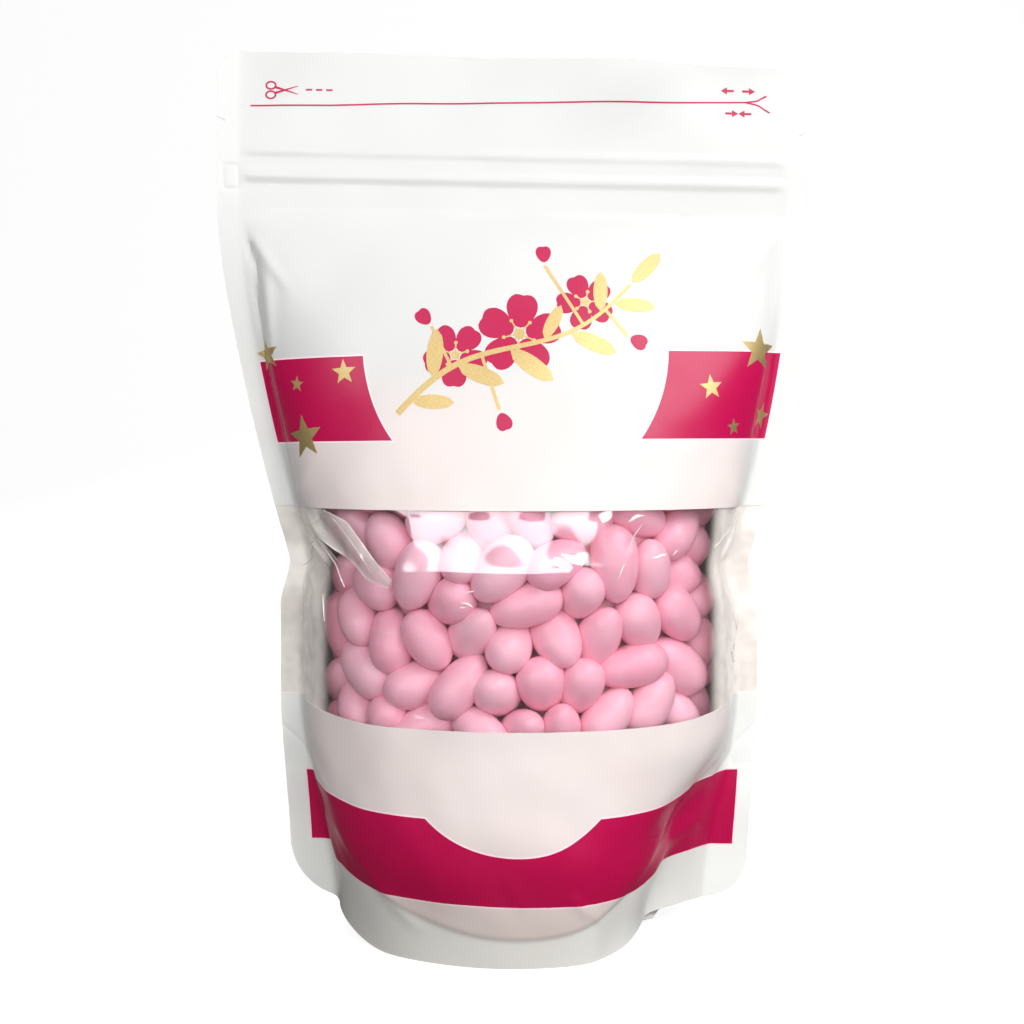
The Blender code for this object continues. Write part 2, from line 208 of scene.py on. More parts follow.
def set_back(s, v):
    """How far a place lies behind the middle plane: the top is turned a little and its flap is wavy."""
    edge = smooth((np.abs(s) - BUCKLE_START) / BUCKLE_REACH)
    buckles = sum(
        depth * np.exp(-(((v - level) / half) ** 2)) * (s * side > 0)
        for side, level, half, depth in SEAL_BUCKLES
    )
    turn = TOP_TURN * smooth((v - TURN_FOOT) / (TURN_TOP - TURN_FOOT)) * s / FLAT_HALF
    rightward = (np.maximum(0.0, s) / FLAT_HALF) ** 2
    ear = RIGHT_EAR_LEAN * smooth((v - TURN_TOP) / (SEAM_TOP - TURN_TOP)) * rightward
    wave = sum(rise * np.exp(-(((s - middle) / width) ** 2)) for middle, width, rise in FLAP_WAVES)
    return turn + ear + edge * buckles + wave * smooth((v - FLAP_FOOT) / (SEAM_TOP - FLAP_FOOT))


def pinched(share, v):
    """The share of its x that a place keeps where the belly's right side is dented near the foot."""
    depth = PINCH * smooth((PINCH_TOP - v) / PINCH_RAMP)
    depth += FOOT_PINCH * smooth((FOOT_PINCH_TOP - v) / (FOOT_PINCH_TOP - SEAM_FOOT))
    return 1 - depth * smooth(share / PINCH_START) * smooth((1 - share) / PINCH_END)


def on_panel(s, v, lift=0.0, side=-1):
    """Places in space of flat places (s, v) on the front (side -1) or back (side 1), raised by lift."""
    s, v, lift = np.broadcast_arrays(np.asarray(s, float), np.asarray(v, float), np.asarray(lift, float))
    belly = FLAT_HALF - seal_width(v)
    share = np.abs(s) / belly
    reach = np.minimum(np.abs(s), belly)
    flatten = smooth((share - 1 + FLAT_BLEND) / FLAT_BLEND)
    x_edge = from_table(SECTION_X, np.ones_like(v), v)
    turn_in = 1 - FILLET_IN / belly
    bend = np.clip((np.abs(s) - belly + FILLET_IN) / (FILLET_IN + FILLET_OUT), 0, 1)
    x, depth = from_table(SECTION_X, share, v), from_table(SECTION_DEPTH, share, v)
    x_start, depth_start = from_table(SECTION_X, turn_in, v), from_table(SECTION_DEPTH, turn_in, v)
    x_bend = (1 - bend) ** 2 * x_start + 2 * bend * (1 - bend) * x_edge + bend**2 * (x_edge + FILLET_OUT)
    x = np.where(bend > 0, x_bend, x)
    depth = np.where(bend > 0, (1 - bend) ** 2 * depth_start, depth)
    x = x * np.where(s > 0, pinched(np.minimum(share, 1), v), 1.0)
    x = x + lift * (1 - flatten) * from_table(SECTION_NORMAL_X, share, v)
    x = x + np.maximum(np.abs(s) - belly - FILLET_OUT, 0)
    depth = depth - TUCK_IN * depth / TUCKED_DEPTH * smooth((TUCK_IN_TOP - v) / (TUCK_IN_TOP - SEAM_FOOT))
    out = (1 - flatten) * from_table(SECTION_NORMAL_Y, share, v) + flatten
    depth = depth + lift * out
    sag = SEAM_FOOT * smooth((SAG_TOP - v) / (SAG_TOP - SEAM_FOOT))
    level = 1 - smooth((reach / belly - SAG_SHARE) / (1 - SAG_SHARE))
    y = side * (depth + SEAM_THICKNESS / 2) + set_back(s, v)
    return np.stack([np.copysign(x, s), y, v - sag * level], -1)


# The paper's own relief: the two ridges of the press-to-close strip with a crushed patch at their left end,
# spots that the almonds behind it push out, folds that run in from the pulled-in seals, and ripples. A fold
# is its two ends on the flat paper, its width and its height.
ZIP_RIDGES = ((0.2367, 0.0026, 0.0007), (0.2446, 0.0022, 0.0004))
ZIP_PATCH = (-0.0905, 0.2362, 0.0017, 0.0025, 0.0004)
FOLDS = (
    ((-0.088, 0.222), (-0.070, 0.196), 0.0016, 0.0006),
    ((-0.0885, 0.2260), (-0.0825, 0.2040), 0.0013, -0.0013),
    ((-0.0835, 0.2140), (-0.0862, 0.1700), 0.0012, -0.0011),
    ((-0.0800, 0.2120), (-0.0820, 0.1680), 0.0020, 0.0006),
    ((-0.086, 0.190), (-0.081, 0.128), 0.0012, -0.0005),
    ((-0.091, 0.124), (-0.062, 0.150), 0.0022, 0.0005),
    ((-0.092, 0.100), (-0.070, 0.128), 0.0020, -0.0006),
    ((0.086, 0.226), (0.070, 0.198), 0.0025, 0.0005),
    ((0.087, 0.208), (0.080, 0.160), 0.0022, 0.0004),
    ((0.091, 0.120), (0.064, 0.146), 0.0022, 0.0005),
    ((0.092, 0.098), (0.072, 0.130), 0.0018, -0.0006),
    ((-0.085, 0.066), (-0.058, 0.040), 0.0022, 0.0006),
    ((-0.080, 0.040), (-0.060, 0.018), 0.0022, 0.0007),
    ((0.086, 0.062), (0.060, 0.040), 0.0022, 0.0005),
    ((0.084, 0.038), (0.052, 0.020), 0.0026, 0.0008),
    ((-0.050, 0.030), (-0.026, 0.013), 0.0022, 0.0005),
    ((0.012, 0.028), (0.034, 0.016), 0.0018, 0.0005),
    ((0.020, 0.027), (0.027, 0.017), 0.0012, -0.0004),
    ((-0.006, 0.036), (0.004, 0.020), 0.0025, 0.0003),
)
FOOT_WELD_MIDDLE = 0.0138
FOOT_WELD_BEND = 5.2
FOOT_WELD_STEP = 0.0005
FOOT_WELD_RUN = 0.0022
FOOT_STEP_END = 0.04
FOOT_STEP_FADE = 0.02
FOLD_START_FADE = 0.3
FOLD_END_FADE = 0.5
SEAL_FADE = 0.003
BUMP_PITCH = 0.0150
BUMP_RISE = 0.00042
BUMP_REACH = 0.0062
BUMP_TOP = 0.165
BUMP_TOP_FADE = 0.03
BUMP_FOOT_FADE = 0.008
BUMP_LEVEL = 0.4
ROW_SHARE = 0.87
SPOT_REACH = 0.081
SPOT_SCATTER = 0.0024
RIPPLE = 0.00016


def foot_weld(s):
    """The level of the round weld that closes the foot, at flat place s."""
    return FOOT_WELD_MIDDLE + FOOT_WELD_BEND * s**2


def fold(s, v, start, end, width, rise):
    """A soft fold along the straight line between two flat places."""
    step_s, step_v = end[0] - start[0], end[1] - start[1]
    length = math.hypot(step_s, step_v)
    along = ((s - start[0]) * step_s + (v - start[1]) * step_v) / length**2
    off = ((s - start[0]) * step_v - (v - start[1]) * step_s) / length
    fade = smooth(along / FOLD_START_FADE) * smooth((1 - along) / FOLD_END_FADE)
    return rise * fade * np.exp(-((off / width) ** 2))


def almond_spots(seed):
    """Flat places where an almond presses on the paper: rows of them, moved about a little."""
    rng = np.random.default_rng(seed)
    rows = np.arange(0.020, BUMP_TOP, BUMP_PITCH * ROW_SHARE)
    places = [
        (s + BUMP_PITCH / 2 * (k % 2), v)
        for k, v in enumerate(rows)
        for s in np.arange(-SPOT_REACH, SPOT_REACH + 0.001, BUMP_PITCH)
    ]
    return np.array(places) + rng.normal(0, SPOT_SCATTER, (len(places), 2))


def paper_relief(s, v, seed):
    """How far the paper stands off the smooth panel."""
    belly = FLAT_HALF - seal_width(v)
    inside = smooth((belly - np.abs(s)) / SEAL_FADE)
    rise = np.zeros_like(s)
    for middle, half, height in ZIP_RIDGES:
        round_top = np.clip(np.cos(np.clip((v - middle) / half, -1, 1) * math.pi / 2), 0, 1)
        rise += height * inside * round_top**1.5
    fade = smooth((BUMP_TOP - v) / BUMP_TOP_FADE) * smooth((v - foot_weld(s)) / BUMP_FOOT_FADE)
    filled = inside * fade
    for spot_s, spot_v in almond_spots(seed):
        near = np.exp(-(((s - spot_s) ** 2 + (v - spot_v) ** 2) / BUMP_REACH**2))
        rise += BUMP_RISE * filled * near
    rise -= BUMP_RISE * BUMP_LEVEL * filled
    for line in FOLDS:
        rise += fold(s, v, *line) * inside
    rise += FOOT_WELD_STEP * smooth((v - foot_weld(s)) / FOOT_WELD_RUN)
    rise -= FOOT_WELD_STEP * smooth((v - FOOT_STEP_END) / FOOT_STEP_FADE)
    patch_s, patch_v, half_s, half_v, depth = ZIP_PATCH
    rise -= depth * smooth(2 - np.abs(s - patch_s) / half_s) * smooth(2 - np.abs(v - patch_v) / half_v)
    rise += RIPPLE * inside * np.sin(s * 190 + seed) * np.sin(v * 131 + 2 * seed)
    rise += RIPPLE * inside * np.sin(s * 83 - v * 157 + 1.3 * seed)
    return rise


# The front and back papers are satin white sheets about a third of a millimetre thick. The front one ends
# above and below the window, and each is made as a flat sheet that is then stood up along the pouch's
# sections. Each corner also keeps a painted shade: how far its colour is darkened towards the foot, more
# on the left and middle than on the right.
PAPER_THICKNESS = 0.00036
WINDOW_TOP = 0.1322
WINDOW_FOOT = 0.0722
WINDOW_FOOT_DIP = 0.0015
DIP_RUN = 0.012
PAPER_COLUMNS = 150
PAPER_ROW_STEP = 0.0014
FINE_ROW_STEP = 0.0006
EDGE_ROW_STEP = 0.0002
EDGE_ROWS = 0.0012
STRIP_ROWS = (0.2305, 0.2565)
FRONT_SEED = 3
BACK_SEED = 8
BACK_WELD = 0.012
WELD_EDGE = 0.0015
SEAL_EDGE = (0.0005, 0.002)
FILLED_TOP = 0.182
FILLED_TOP_FADE = 0.03
FILLED_SIDE_FADE = 0.02
# Where and how strongly painted shade darkens the paper: towards the foot, more on the left.
PAINTED_SHADE_TOP = 0.050
PAINTED_SHADE_REACH = 0.030
PAINTED_SHADE_RIGHT = 0.55
PAINTED_SHADE_TURN = 0.055
PAINTED_SHADE_TURN_RUN = 0.050
PAINTED_SHADE_EDGE = (0.004, 0.006)


def clear_selection():
    for obj in bpy.context.selected_objects:
        obj.select_set(False)


def choose(obj):
    clear_selection()
    obj.select_set(True)
    bpy.context.view_layer.objects.active = obj


def places_of(obj):
    places = np.empty(len(obj.data.vertices) * 3)
    obj.data.vertices.foreach_get("co", places)
    return places.reshape(-1, 3)


def flat_places(s, v):
    return np.stack([s, v, np.zeros_like(s)], -1)


def flat_grid(columns, rows):
    """A primitive grid from -1 to 1 both ways, and its corners' places."""
    clear_selection()
    bpy.ops.mesh.primitive_grid_add(x_subdivisions=columns, y_subdivisions=rows, size=2)
    return bpy.context.object, places_of(bpy.context.object)


def sheet_of(name, columns, levels):
    """A primitive grid with its rows at the levels, and each corner's share across and level."""
    obj, places = flat_grid(columns, len(levels) - 1)
    obj.name = obj.data.name = name
    row = np.rint((places[:, 1] + 1) / 2 * (len(levels) - 1)).astype(int)
    return obj, places[:, 0], np.asarray(levels)[row]


def set_places(obj, places):
    obj.data.vertices.foreach_set("co", np.asarray(places, np.float32).ravel())
    obj.data.update()


def note(obj, name, values):
    """Keeps one number, or one place, for each corner of the mesh, for the material to read."""
    values = np.asarray(values, np.float32)
    kind, field = ("FLOAT_VECTOR", "vector") if values.ndim == 2 else ("FLOAT", "value")
    obj.data.attributes.new(name, kind, "POINT").data.foreach_set(field, values.ravel())


def apply_modifier(obj, name, kind, **settings):
    modifier = obj.modifiers.new(name, kind)
    for key, value in settings.items():
        setattr(modifier, key, value)
    choose(obj)
    bpy.ops.object.modifier_apply(modifier=modifier.name)


def shade(obj, angle=40):
    choose(obj)
    bpy.ops.object.shade_smooth_by_angle(angle=math.radians(angle))


def paper_levels(low, high):
    """Levels from low to high: fine at round corners, notches and the press-to-close strip."""
    levels = [low]
    while levels[-1] < high - 1e-6:
        v = levels[-1]
        near_foot = v < SEAM_FOOT + LEFT_FOOT_CORNER
        near_top = v > SEAM_TOP - TOP_CORNER - PAPER_ROW_STEP
        fine = STRIP_ROWS[0] < v < STRIP_ROWS[1] or near_foot or near_top
        step = FINE_ROW_STEP if fine else PAPER_ROW_STEP
        if v > SEAM_TOP - EDGE_ROWS or v < SEAM_FOOT + EDGE_ROWS:
            step = EDGE_ROW_STEP
        levels.append(min(high, v + step))
    return levels


def paper_sheet(name, low, high, side, seed):
    """One sheet of paper from level low to level high, with notes of its flat places for the print."""
    obj, across, v = sheet_of(name, PAPER_COLUMNS, paper_levels(low, high))
    s = across * -side
    s = s * flat_edge(v, s)
    if side < 0 and high < WINDOW_TOP:
        near_window = smooth((v - high + DIP_RUN) / DIP_RUN)
        v = v - WINDOW_FOOT_DIP * (1 - (s / FLAT_HALF) ** 2) * near_window
    set_places(obj, on_panel(s, v, paper_relief(s, v, seed), side))
    note(obj, "flat_place", flat_places(s, v))
    weld_top = foot_weld(s) if side < 0 else BACK_WELD
    weld = 1 - smooth((v - weld_top) / WELD_EDGE)
    belly = FLAT_HALF - seal_width(v)
    past_belly = np.abs(s) - belly
    note(obj, "seal", np.maximum(smooth((past_belly + SEAL_EDGE[0]) / SEAL_EDGE[1]), weld))
    # Where the pouch is filled; the material gives this part painted rosy light from the almonds.
    filled = smooth((FILLED_TOP - v) / FILLED_TOP_FADE) * smooth(-past_belly / FILLED_SIDE_FADE)
    note(obj, "filled", filled * (1 - weld))
    # Painted shade, strongest at the foot and on the left and middle, weaker on the right.
    shade_leftward = PAINTED_SHADE_RIGHT + (1 - PAINTED_SHADE_RIGHT) * smooth((PAINTED_SHADE_TURN - s) / PAINTED_SHADE_TURN_RUN)
    over_belly = smooth((PAINTED_SHADE_EDGE[0] - past_belly) / PAINTED_SHADE_EDGE[1])
    note(obj, "painted_shade", shade_leftward * smooth((PAINTED_SHADE_TOP - v) / PAINTED_SHADE_REACH) * over_belly)
    apply_modifier(obj, "thickness", "SOLIDIFY", thickness=PAPER_THICKNESS, offset=-1.0)
    shade(obj)
    return obj


front_top = paper_sheet("front_paper_top", WINDOW_TOP, SEAM_TOP, -1, FRONT_SEED)
front_foot = paper_sheet("front_paper_foot", SEAM_FOOT, WINDOW_FOOT, -1, FRONT_SEED)
back_paper = paper_sheet("back_paper", SEAM_FOOT, SEAM_TOP, 1, BACK_SEED)

# The print on the front is ink under a satin varnish: a magenta band with a round clearing above the
# window, and one with a round dip below, both edged with a fine pale line. A band is its two levels in the
# middle and their slopes, and a circle is its middle and radius.
BAND_HALF = 0.0896
BAND_SHIFT = 0.0010
UPPER_BAND = (0.1526, 0.1803, 0.0070, 0.0185)
CLEARING = (-0.0010, 0.1820, 0.0470)
LOWER_BAND = (0.0238, 0.0478, -0.0100, 0.0)
DIP_CIRCLE = (-0.0010, 0.0800, 0.0418)
MAGENTA = (0.445, 0.0012, 0.062)
PALE_MAGENTA = (0.48, 0.008, 0.080)
WHITE_PAPER = (0.640, 0.640, 0.632)
# The seal colours are partly real, a faint green cast, and partly painted light: lighter than the paper,
# lightest low down.
SEAL_PAPER_WITH_PAINTED_LIGHT = (0.676, 0.681, 0.664)
LOWER_SEAL_PAINTED_LIGHT = (0.810, 0.820, 0.792)
SEAL_PAINTED_LIGHT_TOP = 0.170
SEAL_PAINTED_LIGHT_FOOT = 0.110
# Painted rosy light, standing in for pink light from the almonds coming through the paper.
PAINTED_ROSY_LIGHT_PAPER = (0.745, 0.646, 0.626)
# Colour multiplied in as painted shade towards the foot.
PAINTED_SHADE_COLOUR = (0.76, 0.73, 0.71)
FIBRE_PAPER = (0.80, 0.78, 0.76)
PALE_LINE = (0.93, 0.72, 0.78)
PALE_LINE_WIDTH = 0.0005


class Maker:
    """Adds nodes to one material and links them in the order they are named."""

    def __init__(self, name):
        self.material = bpy.data.materials.new(name)
        self.material.use_nodes = True
        self.tree = self.material.node_tree
        self.shader = self.tree.nodes["Principled BSDF"]
        self.output = self.tree.nodes["Material Output"]

    def add(self, kind, *sources, **settings):
        """A new node with its settings, its inputs filled in order from sockets or plain values."""
        node = self.tree.nodes.new(kind)
        for key, value in settings.items():
            setattr(node, key, value)
        for socket, source in zip(node.inputs, sources):
            self.give(socket, source)
        return node

    def give(self, socket, source):
        if source is None:
            return
        if isinstance(source, bpy.types.NodeSocket):
            self.tree.links.new(source, socket)
        elif socket.type == "RGBA" and len(source) == 3:
            socket.default_value = (*source, 1.0)
        else:
            socket.default_value = source

    def maths(self, operation, *sources):
        return self.add("ShaderNodeMath", *sources, operation=operation).outputs[0]

    def read(self, name):
        return self.add("ShaderNodeAttribute", attribute_name=name)

    def blend(self, factor, first, second, way="MIX"):
        node = self.add("ShaderNodeMix", data_type="RGBA", blend_type=way)
        self.give(node.inputs["Factor"], factor)
        self.give(node.inputs["A"], first)
        self.give(node.inputs["B"], second)
        return node.outputs["Result"]

    def noise(self, scale, detail=2.0, roughness=0.5):
        place = self.add("ShaderNodeTexCoord").outputs["Object"]
        node = self.add("ShaderNodeTexNoise")
        self.give(node.inputs["Vector"], place)
        node.inputs["Scale"].default_value = scale
        node.inputs["Detail"].default_value = detail
        node.inputs["Roughness"].default_value = roughness
        return node.outputs["Fac"]

    def ramp(self, source, low, high):
        """Source stretched so that low becomes 0 and high becomes 1."""
        node = self.add("ShaderNodeMapRange")
        self.give(node.inputs["Value"], source)
        node.inputs["From Min"].default_value = low
        node.inputs["From Max"].default_value = high
        return node.outputs["Result"]

    def bump(self, height, distance, strength):
        node = self.add("ShaderNodeBump")
        node.inputs["Strength"].default_value = strength
        node.inputs["Distance"].default_value = distance
        self.give(node.inputs["Height"], height)
        self.tree.links.new(node.outputs["Normal"], self.shader.inputs["Normal"])

    def finish(self, **sockets):
        for name, source in sockets.items():
            self.give(self.shader.inputs[name.replace("_", " ")], source)
        return self.material


def inside_band(maker, s, v, band, margin):
    """1 inside a band of the print, which is wider by margin all round."""
    low, high, low_slope, high_slope = band
    from_middle = maker.maths("ABSOLUTE", maker.maths("SUBTRACT", s, BAND_SHIFT))
    across = maker.maths("LESS_THAN", from_middle, BAND_HALF + margin)
    above = maker.maths("GREATER_THAN", v, maker.maths("MULTIPLY_ADD", s, low_slope, low - margin))
    below = maker.maths("LESS_THAN", v, maker.maths("MULTIPLY_ADD", s, high_slope, high + margin))
    return maker.maths("MULTIPLY", across, maker.maths("MULTIPLY", above, below))


def outside_circle(maker, s, v, circle, margin):
    step_s = maker.maths("SUBTRACT", s, circle[0])
    step_v = maker.maths("SUBTRACT", v, circle[1])
    square_s, square_v = maker.maths("MULTIPLY", step_s, step_s), maker.maths("MULTIPLY", step_v, step_v)
    away = maker.maths("SQRT", maker.maths("ADD", square_s, square_v))
    return maker.maths("GREATER_THAN", away, circle[2] - margin)


def paper_material(name, printed):
    """Satin white paper with fine fibres, with painted light on the seals, painted rosy light where the
    pouch is filled and painted shade towards the foot.
    """
    maker = Maker(name)
    place = maker.add("ShaderNodeSeparateXYZ", maker.read("flat_place").outputs["Vector"])
    s, v = place.outputs[0], place.outputs[1]
    cloud = maker.noise(42, 1.0)
    # Painted light: where the pouch is filled, the paper is tinted rosy in cloudy patches.
    painted_rosy_light = maker.maths("MULTIPLY", maker.read("filled").outputs["Fac"], maker.ramp(cloud, -1.2, 0.85))
    colour = maker.blend(painted_rosy_light, WHITE_PAPER, PAINTED_ROSY_LIGHT_PAPER)
    # Painted light: the seals are coloured lighter than the paper, and lighter still lower down.
    weld = maker.blend(maker.ramp(v, SEAL_PAINTED_LIGHT_TOP, SEAL_PAINTED_LIGHT_FOOT), SEAL_PAPER_WITH_PAINTED_LIGHT, LOWER_SEAL_PAINTED_LIGHT)
    colour = maker.blend(maker.read("seal").outputs["Fac"], colour, weld)
    fibre = maker.noise(2600, 3.0, 0.6)
    colour = maker.blend(maker.ramp(fibre, 0.62, 0.95), colour, FIBRE_PAPER)
    roughness = maker.ramp(cloud, 1.9, -2.1)
    if printed:
        fields = []
        for margin in (0.0, -PALE_LINE_WIDTH):
            inked = []
            for band, circle in ((UPPER_BAND, CLEARING), (LOWER_BAND, DIP_CIRCLE)):
                inside = inside_band(maker, s, v, band, margin)
                outside = outside_circle(maker, s, v, circle, margin)
                inked.append(maker.maths("MULTIPLY", inside, outside))
            fields.append(maker.maths("MAXIMUM", *inked))
        colour = maker.blend(fields[0], colour, PALE_LINE)
        ink = maker.blend(maker.ramp(fibre, 0.45, 0.95), MAGENTA, PALE_MAGENTA)
        colour = maker.blend(fields[1], colour, ink)
        roughness = maker.maths("SUBTRACT", roughness, maker.maths("MULTIPLY", fields[1], 0.04))
    # Painted shade: the colour, print included, is darkened towards the foot and more on the left.
    colour = maker.blend(maker.read("painted_shade").outputs["Fac"], colour, PAINTED_SHADE_COLOUR, "MULTIPLY")
    waves = maker.maths("MULTIPLY", maker.noise(420, 2.0), 1.5)
    maker.bump(maker.maths("ADD", fibre, waves), 0.00004, 0.35)
    return maker.finish(Base_Color=colour, Roughness=roughness, Specular_IOR_Level=0.36)


def coat(obj, material):
    obj.data.materials.clear()
    obj.data.materials.append(material)


printed_paper = paper_material("printed_paper", True)
plain_paper = paper_material("plain_paper", False)
for sheet, surface in ((front_top, printed_paper), (front_foot, printed_paper), (back_paper, plain_paper)):
    coat(sheet, surface)
    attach(sheet, "root")
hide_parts("pouch")

# The foot is a separate paper gusset, folded up inside the rim and let down in the middle by the almonds'
# weight until it rests on the table. It is a disc of rings from the middle to the rim.
FOOT_RIM = 0.0015
FOOT_RIM_DEPTH = 0.055
FOOT_GROOVE = 0.0045
FOOT_GROOVE_SHARE = 0.55
FOOT_GROOVE_END = 0.93
FOOT_REST = 0.55
FOOT_RINGS = 26
FOOT_SPOKES = 96
GUSSET_RIPPLE = 0.0003
GUSSET_PAINTED_SHADE = 0.6
REST_GAP = 0.0002


def edit_all(obj, operator, **settings):
    """Runs one mesh operator on the whole of the object's mesh."""
    choose(obj)
    bpy.ops.object.mode_set(mode="EDIT")
    bpy.ops.mesh.select_all(action="SELECT")
    operator(**settings)
    bpy.ops.object.mode_set(mode="OBJECT")


clear_selection()
bpy.ops.mesh.primitive_circle_add(vertices=FOOT_SPOKES, radius=1.0, fill_type="NGON")
gusset = bpy.context.object
gusset.name = gusset.data.name = "foot_gusset"
bpy.ops.object.mode_set(mode="EDIT")
bpy.ops.mesh.select_all(action="SELECT")
for ring in range(FOOT_RINGS - 1):
    bpy.ops.mesh.inset(thickness=1.0 / FOOT_RINGS, use_even_offset=False)
bpy.ops.mesh.poke()
bpy.ops.object.mode_set(mode="OBJECT")
places = places_of(gusset)
share = np.hypot(places[:, 0], places[:, 1])
share = share / share.max()
turn = np.arctan2(places[:, 1], places[:, 0])
heights = [0, 0, FOOT_GROOVE, FOOT_GROOVE * FOOT_GROOVE_SHARE]
lift = np.interp(share, [0, FOOT_REST, FOOT_GROOVE_END, 1.0], heights)
lift = lift + GUSSET_RIPPLE * np.sin(turn * 9) * smooth((share - 0.5) / 0.3)
rim_half = FLAT_HALF - seal_width(SEAM_FOOT) - FILLET_IN
rim_s = np.arcsin(np.clip(np.cos(turn), -1, 1)) / (math.pi / 2) * rim_half
rim = np.where(
    (np.sin(turn) < 0)[:, None],
    on_panel(rim_s, SEAM_FOOT, -FOOT_RIM, -1),
    on_panel(rim_s, SEAM_FOOT, -FOOT_RIM, 1),
)
places[:, 0] = rim[:, 0] * share * (1 - FOOT_RIM / FOOT_RIM_DEPTH)
places[:, 1] = rim[:, 1] * share
places[:, 2] = REST_GAP + lift
set_places(gusset, places)
note(gusset, "flat_place", np.zeros_like(places))
note(gusset, "seal", smooth((share - 0.9) / 0.05))
note(gusset, "filled", np.zeros_like(share))
# The whole gusset is darkened evenly by painted shade.
note(gusset, "painted_shade", np.full_like(share, GUSSET_PAINTED_SHADE))
edit_all(gusset, bpy.ops.mesh.flip_normals)
apply_modifier(gusset, "thickness", "SOLIDIFY", thickness=PAPER_THICKNESS, offset=-1.0)
shade(gusset)
coat(gusset, plain_paper)
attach(gusset, "root")

# Sugared almonds: whole almonds panned in pink sugar until they are smooth, fuller at one end. They lie
# packed against the film as they settled, the same way as in the model.
ALMOND_LENGTH = 0.0220
ALMOND_WIDTH = 0.0142
ALMOND_THICKNESS = 0.0128
ALMOND_TAPER = 0.13
ALMOND_SHOULDER = 0.20
SIZE_SPREAD = (0.13, 0.08, 0.07)
ALMOND_PITCH = 0.0136
PITCH_SHARES = (1.10, 0.90, 0.92)
HEAP_REACH_X = 0.077
HEAP_REACH_Y = 0.045
HEAP_FOOT = 0.052
HEAP_TOP = 0.150
HEAP_BACK = 0.016
HEAP_FILL = 0.94
HEAP_SIDE_ROOM = 0.0045
HEAP_LEVELS = 36
HEAP_SEED = 11
SCATTER = 0.0022
AXIS_SPREAD = (1.0, 0.75, 0.9)
ARM_SHARE = 0.26
BALL_SHARE = 0.485
END_SHARE = 0.74
WALL_GAP = 0.0010
HEAP_SLACK = 0.008
SETTLING_STEPS = 220
SETTLING_DRIFT = 0.00035
MOVE_SHARE = 0.45
TURN_SHARE = 0.5
HEAP_DEPTH = 0.034
HEAP_MARGIN = 0.012
FILM_ROOM = 0.0006
TONE_SEED = 5


